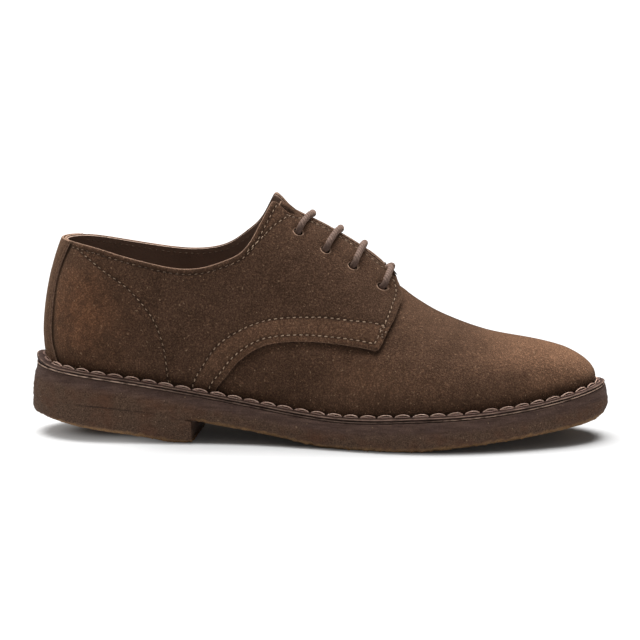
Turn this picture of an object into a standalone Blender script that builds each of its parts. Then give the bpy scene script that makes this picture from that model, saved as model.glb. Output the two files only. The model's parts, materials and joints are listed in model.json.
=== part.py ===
"""Derby shoe, right foot: suede upper on a welted crepe rubber sole.

The shoe is described in its own frame, in millimetres: X runs from the upper's heel end at 0
to its toe end at LENGTH, Y is negative on the lateral side and positive on the medial side, and
Z is the height above the ground.  An empty moves the pieces so that the middle of the footprint
is the origin.
"""

import math

import bmesh
import bpy
import numpy as np

MM = 0.001

# --- Driving dimensions, millimetres -----------------------------------------------------------

LENGTH = 290.0          # upper, heel end to toe end, along the feather line
HEEL_RADIUS = 27.0      # plan radius of the upper's heel end
TOE_RADIUS = 24.6       # plan radius of the upper's toe end
WALL = 2.2              # suede and lining together
SEAT_GAP = 0.3          # clearance between pieces that rest on each other

WELT_THICKNESS = 1.3
MIDSOLE_THICKNESS = 0.9
WELT_REACH = 5.5        # how far the welt stands out beyond the feather line
WELT_HEEL_REACH = 1.3   # how much further it stands out at the heel's end
WELT_HEEL_RISE = 3.0    # how far it turns up there
WELT_RISE_LENGTH = 9.5  # length of the shoe over which it does so
WELT_TUCK = -2.4        # how far it runs in under the upper's wall
INSOLE_INSET = -2.8
INSOLE_RISE = 2.4       # insole's top above the feather line

HEEL_BREAST = 81.0      # x of the heel's straight front face
HEEL_FLAT = 73.0        # a station just inside the heel's flat spot
HEEL_AXIS = 48.0        # sections behind this x fan out around a vertical axis
TOE_START = 235.0       # sections in front of this x turn gradually towards the toe
TOE_SQUEEZE = 20.0      # how far the toe end's own section starts behind the toe end

COLLAR_FRONT = 130.0    # in front of this x only the facing ends the wall
THROAT_END = 188.0      # front end of the slit between the two facings
THROAT_ROUND = 7.0      # length over which the slit closes
SEAT_FADE = 8.0         # length over which the outsole's rounded lower edge starts at the heel

TONGUE_TOP = 122.5
TONGUE_FRONT = 206.0
TONGUE_WALL = 2.2
TONGUE_TOP_REACH = 15.0     # half width along the curve at the top edge
TONGUE_SHOULDER = 5.0       # what the round top corners add to it
TONGUE_ROUND = 0.12         # share of the length that the corners take
TONGUE_SPREAD = 3.0         # what the front end adds
TONGUE_INSET = WALL + 1.0

LACE_DIAMETER = 3.4
LACE_CLEARANCE = 0.4
LACE_STATIONS = (141.2, 155.9, 167.6, 180.8)    # where the bars cross the shoe's ridge
LACE_LEAN = 0.3         # how far a bar runs back for each millimetre that it comes down
EYELET_ASIDE = 19.3     # an eyelet's distance from the ridge, seen from above

# --- Tables: one row a section, x first --------------------------------------------------------

# Feather line in plan: where the upper meets the welt.
PLAN = {
    "x": (25, 45, 65, 90, 115, 140, 165, 185, 200, 215, 235, 255, 270, 280),
    "centre": (0.0, 0.0, -0.3, -1.2, -2.5, -3.2, -2.7, -1.5, -0.4, 0.7, 1.7, 2.8, 3.5, 3.8),
    "half_width": (28, 30, 29.9, 28.3, 28.5, 32.8, 39.8, 44.5, 46.4, 46.2, 42.2, 34.8, 27, 19.8),
}

# Height of the welt's top face.
FEATHER = {
    "x": (-8, 10, 32, 57, 83, 110, 137, 163, 190, 219, 252, 280, 297),
    "z": (40.3, 38.0, 35.5, 32.0, 27.6, 22.9, 18.9, 17.1, 18.2, 19.7, 22.7, 27.5, 31.5),
}

# Underside of the outsole: heel seat, arch, flat tread and toe spring.
TREAD = {
    "x": (-10, 18, 32, 44, 60, 81, 90, 112, 130, 142, 152, 195, 211, 242, 273, 290, 297),
    "z": (20.4, 19.5, 18.9, 17.8, 16.1, 12.0, 9.9, 6.5, 3.6, 1.3, 0.0, 0.0, 1.2, 4.6, 8.5, 11.1, 13.0),
}

# Underside of the heel: a flat spot behind the breast, then a long bevel up to the back.
HEEL_TREAD = {
    "x": (-10, 4, 20, 36, 52, 63, 71, 81),
    "z": (11.3, 9.7, 7.2, 5.2, 3.1, 1.3, 0.0, 0.0),
}

# How far the crepe stands out beyond the feather line.
CREPE_REACH = {
    "x": (0, 40, 90, 150, 200, 260, 290),
    "reach": (7.9, 7.1, 6.2, 6.4, 6.8, 6.8, 6.4),
}

# Height of the last's ridge; behind the throat it is the closed top that the collar cuts off.
RIDGE = {
    "x": (0, 60, 95, 110, 122, 131, 143, 156, 168, 178, 188, 198, 211, 224, 237, 257, 273),
    "y": (0, 0, 0, 0, 0, 0, 0, 0.3, 0.8, 1.4, 2.0, 2.6, 3.6, 4.6, 5.5, 6.2, 5.4),
    "z": (137, 137, 134.5, 130.2, 124.8, 120.2, 114.6, 107.8, 99.8, 91.0, 80.2, 71.3, 63.9, 58.6,
          54.7, 51.4, 48.0),
}

# Shape of each half section: a power near 1 is elliptic, a smaller one is squarer; swell is how
# far the wall stands out beyond the feather line, and swell_height is how high up it does so.
SECTION = {
    "x": (0, 48, 100, 138, 165, 180, 200, 235, 260, 290),
    "side_power": (0.79, 0.63, 0.65, 0.69, 0.86, 0.92, 0.93, 0.88, 0.86, 1.0),
    "crown_power": (1.0, 1.0, 1.0, 1.0, 1.2, 1.32, 1.2, 0.96, 0.9, 0.95),
    "lateral_swell": (1.9, 2.4, 2.0, 2.0, 2.4, 2.9, 3.0, 2.6, 2.0, 1.0),
    "medial_swell": (1.9, 2.4, 1.6, 1.2, 1.6, 2.1, 2.4, 2.6, 2.2, 1.0),
    "swell_height": (18, 18, 18, 17, 16, 15, 14, 11, 9, 6),
}

# Top edge of the collar on each side; past the last row it is the facing that ends the wall.
LATERAL_COLLAR = {
    "x": (7, 14, 28, 43, 59, 75, 87, 99, 107, 111.7, 115.2, 119.2, 121.7, 127.5),
    "z": (104.8, 103.9, 101.6, 97.6, 93.7, 91.0, 91.9, 95.9, 100.6, 106.9, 113.8, 121.4, 125.6, 134),
}
MEDIAL_COLLAR = {
    "x": (7, 14, 28, 43, 60, 75, 87, 97, 105, 110.5, 114.5, 118.5, 121.5, 127),
    "z": (104.8, 104.4, 102.2, 99.6, 97.2, 96.3, 97.6, 101.5, 107.4, 112.2, 117.6, 124.4, 128.2, 136),
}

# Half the gap between the facings along the slit, on each side: the lateral one opens out at the top.
FACING_GAP = {
    "x": (116, 123, 126, 129, 133, 138, 144, 188),
    "lateral": (8.4, 9.2, 9.9, 10.1, 8.8, 6.8, 6.3, 6.3),
    "medial": (5.0, 5.2, 5.5, 5.8, 6.1, 6.3, 6.3, 6.3),
}

# Cross profile of the crepe's edge, from the tread up: outset beyond its reach, its outset where it
# rests on the heel, and level from the underside (0) to the top face (1).
CREPE_EDGE = {
    "outset": (-3.2, -1.1, -0.1, 0.6, 0.8, 0.5, 0.0, -0.6),
    "seat": (1.0, 0.9, 0.8, 0.5, 0.3, -0.1, -1.1, -1.5),
    "level": (0.0, 0.08, 0.17, 0.32, 0.5, 0.68, 0.84, 1.0),
}
HEEL_EDGE = {
    "outset": (-2.6, -0.5, 0.6, 1.1, 1.0),
    "level": (0.0, 0.1, 0.22, 0.5, 1.0),
}
SHEET_EDGE = {
    "outset": (-0.5, 0.0, 0.0, -0.5),
    "level": (0.0, 0.25, 0.75, 1.0),
}

# Closed profile of the welt strip: reach from the feather line, height above its underside, and
# how much of the rise at the heel's end each point takes.
WELT_PROFILE = {
    "reach": (WELT_TUCK, WELT_TUCK, 0.5, 1.7, WELT_REACH - 0.5, WELT_REACH, WELT_REACH - 0.7),
    "height": (0.0, WELT_THICKNESS, WELT_THICKNESS, 1.2, 0.9, 0.45, 0.0),
    "rise": (0.0, 0.0, 0.0, 1.0, 1.0, 0.9, 0.0),
}

# --- Resolution --------------------------------------------------------------------------------

SOLE_STATIONS = 34
HEEL_STATIONS = 12
UPPER_STATIONS = 30
CORNER_STATIONS = (104.0, 110.5, 114.0, 118.0, 121.5, 124.0, 127.0)
THROAT_STATIONS = (181.0, 184.5, 187.0)
CLOSEST_STATIONS = 0.006    # radians between two stations; a nearer one is left out
UPPER_ROWS = 11
SAMPLES = 90            # points worked out along a half section before it is cut and divided
TONGUE_STATIONS = 12
TONGUE_ROWS = 5         # a side, ridge to edge
LACE_POINTS = 6         # a side, ridge to eyelet


# --- Curves through tables ---------------------------------------------------------------------

def spline(xs, ys):
    """Return a natural cubic spline through the points, straight beyond its ends."""
    xs = np.array(xs, dtype=float)
    ys = np.array(ys, dtype=float)
    gap = np.diff(xs)
    matrix = np.eye(len(xs))
    right = np.zeros(len(xs))
    for i in range(1, len(xs) - 1):
        matrix[i, i - 1:i + 2] = gap[i - 1], 2 * (gap[i - 1] + gap[i]), gap[i]
        right[i] = 6 * ((ys[i + 1] - ys[i]) / gap[i] - (ys[i] - ys[i - 1]) / gap[i - 1])
    bend = np.linalg.solve(matrix, right)

    def value(x):
        inside = np.clip(x, xs[0], xs[-1])
        i = np.clip(np.searchsorted(xs, inside) - 1, 0, len(xs) - 2)
        step = gap[i]
        after = (inside - xs[i]) / step
        before = 1 - after
        curve = before * ys[i] + after * ys[i + 1]
        curve += step ** 2 / 6 * ((before ** 3 - before) * bend[i] + (after ** 3 - after) * bend[i + 1])
        return curve + end_slope(x, xs, ys) * (x - inside)

    return value


def end_slope(x, xs, ys):
    """Slope of the first or last stretch of a table, for points beyond it."""
    if np.ndim(x) == 0 and x < xs[0]:
        return (ys[1] - ys[0]) / (xs[1] - xs[0])
    return (ys[-1] - ys[-2]) / (xs[-1] - xs[-2])


def level_curve(xs, ys):
    """Return a curve through the points that never overshoots, so that flat stretches stay flat."""
    xs = np.array(xs, dtype=float)
    ys = np.array(ys, dtype=float)
    rate = np.diff(ys) / np.diff(xs)
    slope = np.zeros(len(xs))
    for i in range(1, len(xs) - 1):
        if rate[i - 1] * rate[i] > 0:
            slope[i] = 2 * rate[i - 1] * rate[i] / (rate[i - 1] + rate[i])
    slope[0] = rate[0]
    slope[-1] = rate[-1]

    def value(x):
        i = int(np.clip(np.searchsorted(xs, x) - 1, 0, len(xs) - 2))
        step = xs[i + 1] - xs[i]
        t = min(max((x - xs[i]) / step, 0.0), 1.0)
        left = ys[i] * (1 + 2 * t) * (1 - t) ** 2 + ys[i + 1] * t ** 2 * (3 - 2 * t)
        right = step * (slope[i] * t * (1 - t) ** 2 - slope[i + 1] * t ** 2 * (1 - t))
        return left + right

    return value


def angle_at(x):
    """Turn a distance along the shoe into the angle that spreads the stations evenly."""
    return math.acos(1 - 2 * x / LENGTH)


def plan_spread():
    """Half width divided by the sine of the station's angle, which stays finite at both ends."""
    angles = [0.0] + [angle_at(x) for x in PLAN["x"]] + [math.pi]
    spreads = [math.sqrt(HEEL_RADIUS * LENGTH / 2)]
    spreads += [width / math.sin(angle_at(x)) for x, width in zip(PLAN["x"], PLAN["half_width"])]
    spreads += [math.sqrt(TOE_RADIUS * LENGTH / 2)]
    return spline(angles, spreads)


SPREAD = plan_spread()
CENTRE = spline(PLAN["x"], PLAN["centre"])
FEATHER_Z = spline(FEATHER["x"], FEATHER["z"])
TREAD_Z = level_curve(TREAD["x"], TREAD["z"])
HEEL_TREAD_Z = level_curve(HEEL_TREAD["x"], HEEL_TREAD["z"])
CREPE_OUT = spline(CREPE_REACH["x"], CREPE_REACH["reach"])
RIDGE_Y = spline(RIDGE["x"], RIDGE["y"])
RIDGE_Z = spline(RIDGE["x"], RIDGE["z"])
SHAPE = {name: spline(SECTION["x"], SECTION[name]) for name in SECTION if name != "x"}
FACING_Y = {
    -1: level_curve(FACING_GAP["x"], FACING_GAP["lateral"]),
    1: level_curve(FACING_GAP["x"], FACING_GAP["medial"]),
}
COLLAR_Z = {
    -1: spline(LATERAL_COLLAR["x"], LATERAL_COLLAR["z"]),
    1: spline(MEDIAL_COLLAR["x"], MEDIAL_COLLAR["z"]),
}


# --- The last ----------------------------------------------------------------------------------

def feather_point(angle, side):
    """Plan point of the feather line; side is -1 lateral, +1 medial."""
    x = LENGTH / 2 * (1 - math.cos(angle))
    return np.array((x, CENTRE(x) + side * SPREAD(angle) * math.sin(angle)))


def outline_point(angle, side, reach):
    """Plan point that lies reach outside the feather line, square to it."""
    step = 0.01
    tangent = feather_point(angle + step, side) - feather_point(angle - step, side)
    if angle < step:
        tangent = np.array((0.0, float(side)))
    elif angle > math.pi - step:
        tangent = np.array((0.0, -float(side)))
    normal = np.array((-tangent[1], tangent[0])) * side / np.linalg.norm(tangent)
    return feather_point(angle, side) + reach * normal


def spine_point(x):
    """Plan point under the ridge, where the half section that starts at x ends."""
    if x < HEEL_AXIS:
        x = HEEL_AXIS
    elif x > TOE_START:
        x -= TOE_SQUEEZE * ((x - TOE_START) / (LENGTH - TOE_START)) ** 2
    return np.array((x, RIDGE_Y(x)))


def half_section(angle, side, inset=0.0):
    """Points of the last from the feather line up to the ridge, inset below its surface."""
    foot = feather_point(angle, side)
    spine = spine_point(foot[0])
    across = foot - spine
    width = np.linalg.norm(across)
    direction = across / width
    slope = RIDGE_Z(spine[0] + 1) - RIDGE_Z(spine[0])
    low = FEATHER_Z(foot[0])
    rise = RIDGE_Z(spine[0]) - low - inset * math.hypot(1, slope)
    shape = {name: curve(foot[0]) for name, curve in SHAPE.items()}
    swell = shape["lateral_swell"] if side < 0 else shape["medial_swell"]
    turn = math.pi / 2 * np.linspace(0, 1, SAMPLES) ** 1.4
    run = (width - inset) * np.cos(turn).clip(0) ** shape["crown_power"]
    height = rise * np.sin(turn) ** shape["side_power"]
    part = height / shape["swell_height"]
    out = run + swell * part * np.exp(1 - part) * np.cos(turn)
    up = low + height + slope * direction[0] * run * np.sin(turn) ** 2
    points = np.empty((SAMPLES, 3))
    points[:, :2] = spine + np.outer(out, direction)
    points[:, 2] = up
    points[-1] = (*spine, RIDGE_Z(spine[0]) - inset * math.hypot(1, slope))
    return points


def divided(points, count):
    """Divide a line of points into count equal lengths."""
    length = np.concatenate(([0], np.cumsum(np.linalg.norm(np.diff(points, axis=0), axis=1))))
    wanted = np.linspace(0, length[-1], count + 1)
    return np.column_stack([np.interp(wanted, length, points[:, k]) for k in range(3)])


def cut_where(points, beyond):
    """Cut a line of points where beyond() first turns positive."""
    values = np.array([beyond(point) for point in points])
    over = np.nonzero(values > 0)[0]
    if len(over) == 0 or over[0] == 0:
        return points
    i = over[0]
    t = values[i - 1] / (values[i - 1] - values[i])
    end = points[i - 1] + t * (points[i] - points[i - 1])
    return np.vstack((points[:i], end))


def facing_gap(x, side):
    """Half the gap between the facings, closing in a round end at the throat."""
    t = min(max((THROAT_END - x) / THROAT_ROUND, 0.0), 1.0)
    return FACING_Y[side](x) * math.sqrt(1 - (1 - t) ** 2)


def wall_column(angle, side):
    """The upper's wall at one station, from the welt to the collar, facing or ridge."""
    points = half_section(angle, side)

    def beyond(point):
        over_collar = -1.0
        over_facing = -1.0
        if point[0] < COLLAR_FRONT:
            over_collar = point[2] - COLLAR_Z[side](point[0])
        if HEEL_AXIS + 20 < point[0] < THROAT_END:
            over_facing = facing_gap(point[0], side) - abs(point[1] - RIDGE_Y(point[0]))
        return max(over_collar, over_facing)

    return divided(cut_where(points, beyond), UPPER_ROWS)


# --- Making objects ----------------------------------------------------------------------------

def material(name, colour, roughness, metallic=0.0):
    made = bpy.data.materials.new(name)
    made.use_nodes = True
    shader = made.node_tree.nodes["Principled BSDF"]
    shader.inputs["Base Color"].default_value = (*colour, 1.0)
    shader.inputs["Roughness"].default_value = roughness
    shader.inputs["Metallic"].default_value = metallic
    made.diffuse_color = (*colour, 1.0)
    return made


def add_object(name, data, finish, collection, parent):
    data.materials.append(finish)
    made = bpy.data.objects.new(name, data)
    collection.objects.link(made)
    made.parent = parent
    return made


def mesh_from(name, build):
    """Fill a new mesh with build(bm), face it outwards and shade it smooth."""
    bm = bmesh.new()
    build(bm)
    bmesh.ops.recalc_face_normals(bm, faces=bm.faces)
    mesh = bpy.data.meshes.new(name)
    bm.to_mesh(mesh)
    bm.free()
    mesh.shade_smooth()
    mesh.set_sharp_from_angle(angle=math.radians(40))
    return mesh


def vertex(bm, x, y, z):
    return bm.verts.new((x * MM, y * MM, z * MM))


def bridge(bm, first, second, closed):
    """Join two equal rows of vertices with quads, leaving out the sides that have no length."""
    count = len(first)
    for i in range(count if closed else count - 1):
        j = (i + 1) % count
        corners = []
        for corner in (first[i], first[j], second[j], second[i]):
            if corner not in corners:
                corners.append(corner)
        if len(corners) > 2:
            bm.faces.new(corners)


def station_angles(start, end, count):
    return [start + (end - start) * i / count for i in range(count + 1)]


# --- Sole pieces -------------------------------------------------------------------------------

def slab(edge, angles, reach, bottom, top, front=None):
    """A layer of the sole: rings up its edge, closed below and above by strips across it."""
    def build(bm):
        rings = []
        for outset, seat, level in zip(edge["outset"], edge.get("seat", edge["outset"]), edge["level"]):
            sides = []
            for side in (-1, 1):
                row = []
                for angle in angles:
                    x = feather_point(angle, side)[0]
                    free = min(max((x - HEEL_BREAST) / SEAT_FADE + 0.5, 0.0), 1.0)
                    plan = outline_point(angle, side, reach(x) + seat + free * (outset - seat))
                    if front is not None and angle == angles[-1]:
                        plan[0] = front
                        x = front
                    z = bottom(plan[0]) + level * (top(plan[0]) - bottom(plan[0]))
                    row.append((plan[0], plan[1], z))
                sides.append(row)
            rings.append(ring_vertices(bm, sides, pointed=front is None))
        for low, high in zip(rings, rings[1:]):
            bridge(bm, low, high, closed=True)
        for ring in (rings[0], rings[-1]):
            close_across(bm, ring, len(angles), pointed=front is None)
    return build


def ring_vertices(bm, sides, pointed):
    """One closed ring: lateral side forwards, medial side back; the heel end is one vertex."""
    lateral = [vertex(bm, *point) for point in sides[0]]
    medial = sides[1][1:-1] if pointed else sides[1][1:]
    return lateral + [vertex(bm, *point) for point in reversed(medial)]


def close_across(bm, ring, count, pointed):
    """Close a ring with strips from the lateral to the medial side."""
    lateral = ring[:count]
    medial = [ring[0]] + list(reversed(ring[count:]))
    if pointed:
        medial.append(lateral[-1])
    bridge(bm, lateral, medial, closed=False)


def welt_spread(x):
    """How much wider the welt is than its profile, round the heel."""
    return 1 + WELT_HEEL_REACH / WELT_REACH * min(max(1 - x / 70, 0.0), 1.0)


def welt_rise(x):
    """How far the welt turns up, round the heel's end."""
    return WELT_HEEL_RISE * max(1 - x / WELT_RISE_LENGTH, 0.0) ** 2


def welt_ring(bm):
    """The welt: one closed profile carried round the feather line."""
    angles = station_angles(0, math.pi, SOLE_STATIONS)
    loop = [(angle, -1) for angle in angles] + [(angle, 1) for angle in reversed(angles[1:-1])]
    columns = []
    for angle, side in loop:
        column = []
        foot = feather_point(angle, side)[0]
        spread = welt_spread(foot)
        for reach, height, share in zip(*WELT_PROFILE.values()):
            x, y = outline_point(angle, side, reach * spread if reach > 0 else reach)
            z = FEATHER_Z(x) - WELT_THICKNESS + height + share * welt_rise(foot)
            column.append(vertex(bm, x, y, z))
        columns.append(column)
    for first, second in zip(columns, columns[1:] + columns[:1]):
        bridge(bm, first, second, closed=True)


def crepe_top(x):
    return FEATHER_Z(x) - WELT_THICKNESS - MIDSOLE_THICKNESS - 2 * SEAT_GAP


def midsole_bottom(x):
    return crepe_top(x) + SEAT_GAP


def midsole_top(x):
    return FEATHER_Z(x) - WELT_THICKNESS - SEAT_GAP


# --- Upper, tongue and laces -------------------------------------------------------------------

def upper_angles():
    """Stations along one side, closer together where the collar turns and the throat ends."""
    angles = station_angles(0, math.pi, UPPER_STATIONS)
    angles += [angle_at(x) for x in (*CORNER_STATIONS, *THROAT_STATIONS, THROAT_END)]
    angles.sort()
    kept = [angles[0]]
    for angle in angles[1:]:
        if angle - kept[-1] > CLOSEST_STATIONS:
            kept.append(angle)
    return kept


def upper_shell(bm):
    """The upper's outer face: a loop of columns, joined along the ridge in front of the throat."""
    angles = upper_angles()
    closed_from = angle_at(THROAT_END) - 1e-6
    ridge = {}
    sides = []
    for side in (-1, 1):
        columns = []
        for i, angle in enumerate(angles):
            points = wall_column(angle, side)
            points[:, 2] += SEAT_GAP
            shared = side > 0 and i in (0, len(angles) - 1)
            if shared:
                columns.append(sides[0][i])
                continue
            column = [vertex(bm, *point) for point in points[:-1]]
            if angle >= closed_from:
                if i not in ridge:
                    ridge[i] = vertex(bm, *points[-1])
                column.append(ridge[i])
            else:
                column.append(vertex(bm, *points[-1]))
            columns.append(column)
        sides.append(columns)
    for columns in sides:
        for first, second in zip(columns, columns[1:]):
            bridge(bm, first, second, closed=False)


def tongue_reach(x):
    """Half width of the tongue along its curve: round at the top, wider towards the toe."""
    t = (x - TONGUE_TOP) / (TONGUE_FRONT - TONGUE_TOP)
    corner = math.sqrt(1 - (1 - min(t / TONGUE_ROUND, 1.0)) ** 2)
    return TONGUE_TOP_REACH + TONGUE_SHOULDER * corner + TONGUE_SPREAD * t


def tongue_sheet(bm):
    """The tongue's outer face, just under the upper's wall."""
    columns = []
    for i in range(TONGUE_STATIONS + 1):
        x = TONGUE_TOP + (TONGUE_FRONT - TONGUE_TOP) * (i / TONGUE_STATIONS) ** 1.3
        row = []
        for side in (-1, 1):
            points = half_section(angle_at(x), side, TONGUE_INSET)[::-1]
            half = divided(shortened(points, tongue_reach(x)), TONGUE_ROWS)
            row = [*half[::-1][:-1]] if side < 0 else row + [*half]
        columns.append([vertex(bm, *point) for point in row])
    for first, second in zip(columns, columns[1:]):
        bridge(bm, first, second, closed=False)


def shortened(points, length):
    """Keep the first stretch of a line of points."""
    walked = np.concatenate(([0], np.cumsum(np.linalg.norm(np.diff(points, axis=0), axis=1))))
    keep = walked < length
    end = [np.interp(length, walked, points[:, k]) for k in range(3)]
    return np.vstack((points[keep], end))


def surface_height(x, aside, lift):
    """Height of the upper above a plan point near the ridge, raised by lift."""
    points = half_section(angle_at(x), -1 if aside < 0 else 1, -lift)[::-1]
    return np.interp(abs(aside), np.abs(points[:, 1] - RIDGE_Y(x)), points[:, 2])


def lace_route(x):
    """A bar's middle line: it crosses the ridge at x and leans back as it comes down."""
    lift = LACE_DIAMETER / 2 + LACE_CLEARANCE
    top = surface_height(x, 0.0, lift)
    route = []
    for i in range(-LACE_POINTS, LACE_POINTS + 1):
        aside = EYELET_ASIDE * i / LACE_POINTS
        along = x
        for _ in range(8):
            height = surface_height(along, aside, lift)
            along = x + LACE_LEAN * (height - top)
        route.append(np.array((along, RIDGE_Y(along) + aside, height)))
    return route


def lace_curve(name, route):
    curve = bpy.data.curves.new(name, "CURVE")
    curve.dimensions = "3D"
    curve.bevel_depth = LACE_DIAMETER / 2 * MM
    curve.bevel_resolution = 2
    curve.use_fill_caps = True
    line = curve.splines.new("POLY")
    line.points.add(len(route) - 1)
    for point, place in zip(line.points, route):
        point.co = (*(place * MM), 1.0)
    return curve


def solidify(made, thickness):
    shell = made.modifiers.new("wall", "SOLIDIFY")
    shell.thickness = thickness * MM
    shell.offset = -1.0
    shell.use_rim = True


# --- Assembly ----------------------------------------------------------------------------------

def footprint_centre():
    """Middle of the crepe sole's box in plan."""
    widest = max(CREPE_EDGE["outset"])
    points = []
    for angle in station_angles(0, math.pi, SOLE_STATIONS):
        for side in (-1, 1):
            reach = CREPE_OUT(feather_point(angle, side)[0]) + widest
            points.append(outline_point(angle, side, reach))
    return (np.max(points, axis=0) + np.min(points, axis=0)) / 2


def clear_scene():
    for old in list(bpy.data.objects):
        bpy.data.objects.remove(old, do_unlink=True)


def main():
    clear_scene()
    collection = bpy.data.collections.new("derby_shoe")
    bpy.context.scene.collection.children.link(collection)
    frame = bpy.data.objects.new("shoe_frame", None)
    centre = footprint_centre()
    frame.location = (-centre[0] * MM, -centre[1] * MM, 0.0)
    collection.objects.link(frame)

    def add(name, data, finish):
        return add_object(name, data, finish, collection, frame)

    crepe = material("crepe_rubber", (0.085, 0.045, 0.03), 0.85)
    heel_crepe = material("heel_crepe_rubber", (0.08, 0.042, 0.028), 0.85)
    midsole_rubber = material("midsole_rubber", (0.06, 0.033, 0.03), 0.6)
    welt_rubber = material("welt_leather", (0.07, 0.038, 0.034), 0.55)
    board = material("insole_leather", (0.09, 0.05, 0.03), 0.7)
    suede = material("upper_suede", (0.12, 0.062, 0.038), 0.95)
    tongue_suede = material("tongue_suede", (0.11, 0.058, 0.036), 0.95)
    cotton = material("lace_cotton", (0.15, 0.1, 0.075), 0.8)

    whole = station_angles(0, math.pi, SOLE_STATIONS)
    heel = station_angles(0, angle_at(HEEL_FLAT), HEEL_STATIONS) + [angle_at(HEEL_BREAST)]

    def heel_top(x):
        return TREAD_Z(x) - SEAT_GAP

    layers = (
        ("outsole", crepe, slab(CREPE_EDGE, whole, CREPE_OUT, TREAD_Z, crepe_top)),
        ("heel_lift", heel_crepe,
         slab(HEEL_EDGE, heel, CREPE_OUT, HEEL_TREAD_Z, heel_top, front=HEEL_BREAST)),
        ("midsole", midsole_rubber,
         slab(SHEET_EDGE, whole, lambda x: WELT_REACH * welt_spread(x) - 0.1, midsole_bottom,
              midsole_top)),
        ("insole", board,
         slab(SHEET_EDGE, whole, lambda x: INSOLE_INSET, lambda x: midsole_top(x) + SEAT_GAP,
              lambda x: FEATHER_Z(x) + INSOLE_RISE)),
        ("welt", welt_rubber, welt_ring),
    )
    for name, finish, build in layers:
        add(name, mesh_from(name, build), finish)

    upper = add("upper", mesh_from("upper", upper_shell), suede)
    solidify(upper, WALL)
    tongue = add("tongue", mesh_from("tongue", tongue_sheet), tongue_suede)
    solidify(tongue, TONGUE_WALL)
    for number, x in enumerate(LACE_STATIONS, start=1):
        name = f"lace_bar_{number}"
        add(name, lace_curve(name, lace_route(x)), cotton)


main()
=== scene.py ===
"""Looks of the derby shoe: suede panels, stitching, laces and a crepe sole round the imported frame.

Everything is described in the shoe's own frame, in millimetres: X from the heel end of the upper
at 0 to its toe end at LENGTH, Y negative on the lateral side, Z the height above the ground.
Panels are drawn on a chart of the last: how far round the feather line from the middle of the
heel (lateral side negative), and how far up over the surface.
"""

import json
import math

import bpy
import numpy as np
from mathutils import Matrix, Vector, geometry, kdtree

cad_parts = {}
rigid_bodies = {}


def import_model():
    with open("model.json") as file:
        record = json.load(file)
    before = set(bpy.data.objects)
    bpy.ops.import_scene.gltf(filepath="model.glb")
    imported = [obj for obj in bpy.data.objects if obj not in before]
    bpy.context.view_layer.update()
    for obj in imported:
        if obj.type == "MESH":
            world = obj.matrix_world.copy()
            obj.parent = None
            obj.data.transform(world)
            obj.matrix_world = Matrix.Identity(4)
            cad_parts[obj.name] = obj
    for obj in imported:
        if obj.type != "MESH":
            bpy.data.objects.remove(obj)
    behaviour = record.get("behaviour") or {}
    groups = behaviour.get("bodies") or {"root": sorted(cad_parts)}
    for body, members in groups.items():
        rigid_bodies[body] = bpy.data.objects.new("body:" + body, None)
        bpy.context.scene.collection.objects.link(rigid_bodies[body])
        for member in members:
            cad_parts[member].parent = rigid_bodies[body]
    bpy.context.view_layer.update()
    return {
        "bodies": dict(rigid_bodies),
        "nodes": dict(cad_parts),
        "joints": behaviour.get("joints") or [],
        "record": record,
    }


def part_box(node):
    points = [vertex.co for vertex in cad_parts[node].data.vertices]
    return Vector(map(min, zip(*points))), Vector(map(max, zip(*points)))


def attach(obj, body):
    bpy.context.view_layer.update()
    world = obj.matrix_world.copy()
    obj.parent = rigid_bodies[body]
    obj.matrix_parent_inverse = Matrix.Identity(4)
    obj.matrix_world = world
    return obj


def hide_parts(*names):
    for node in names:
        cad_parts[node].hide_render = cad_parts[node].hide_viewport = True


MM = 0.001
SIDES = {-1: "lateral", 1: "medial"}
RNG = np.random.default_rng(7)

# --- The last and sole, as the frame was made ---

LENGTH = 290.0
HEEL_RADIUS = 27.0
TOE_RADIUS = 24.6
SEAT_GAP = 0.3
WELT_THICKNESS = 1.3
MIDSOLE_THICKNESS = 0.9
WELT_REACH = 5.5
WELT_HEEL_REACH = 1.3
WELT_HEEL_RISE = 3.0
WELT_RISE_LENGTH = 9.5
HEEL_BREAST = 81.0
SEAT_FADE = 8.0
HEEL_AXIS = 48.0
TOE_START = 235.0
TOE_SQUEEZE = 20.0
THROAT_END = 188.0
LACE_DIAMETER = 3.4
LACE_LAY = 7.5          # length of one turn of the lace's strands
LACE_STRANDS = 4
LACE_STATIONS = (141.2, 155.9, 167.6, 180.8)    # where each bar crosses the ridge

PLAN = {
    "x": (25, 45, 65, 90, 115, 140, 165, 185, 200, 215, 235, 255, 270, 280),
    "centre": (0, 0, -0.3, -1.2, -2.5, -3.2, -2.7, -1.5, -0.4, 0.7, 1.7, 2.8, 3.5, 3.8),
    "half_width": (28, 30, 29.9, 28.3, 28.5, 32.8, 39.8, 44.5, 46.4, 46.2, 42.2, 34.8, 27, 19.8),
}
FEATHER = {
    "x": (-8, 10, 32, 57, 83, 110, 137, 163, 190, 219, 252, 280, 297),
    "z": (40.3, 38, 35.5, 32, 27.6, 22.9, 18.9, 17.1, 18.2, 19.7, 22.7, 27.5, 31.5),
}
TREAD = {
    "x": (-10, 18, 32, 44, 60, 81, 90, 112, 130, 142, 152, 195, 211, 242, 273, 290, 297),
    "z": (20.4, 19.5, 18.9, 17.8, 16.1, 12, 9.9, 6.5, 3.6, 1.3, 0, 0, 1.2, 4.6, 8.5, 11.1, 13),
}
HEEL_TREAD = {
    "x": (-10, 4, 20, 36, 52, 63, 71, 81),
    "z": (11.3, 9.7, 7.2, 5.2, 3.1, 1.3, 0, 0),
}
CREPE_REACH = {
    "x": (0, 40, 90, 150, 200, 260, 290),
    "reach": (7.9, 7.1, 6.2, 6.4, 6.8, 6.8, 6.4),
}
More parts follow.
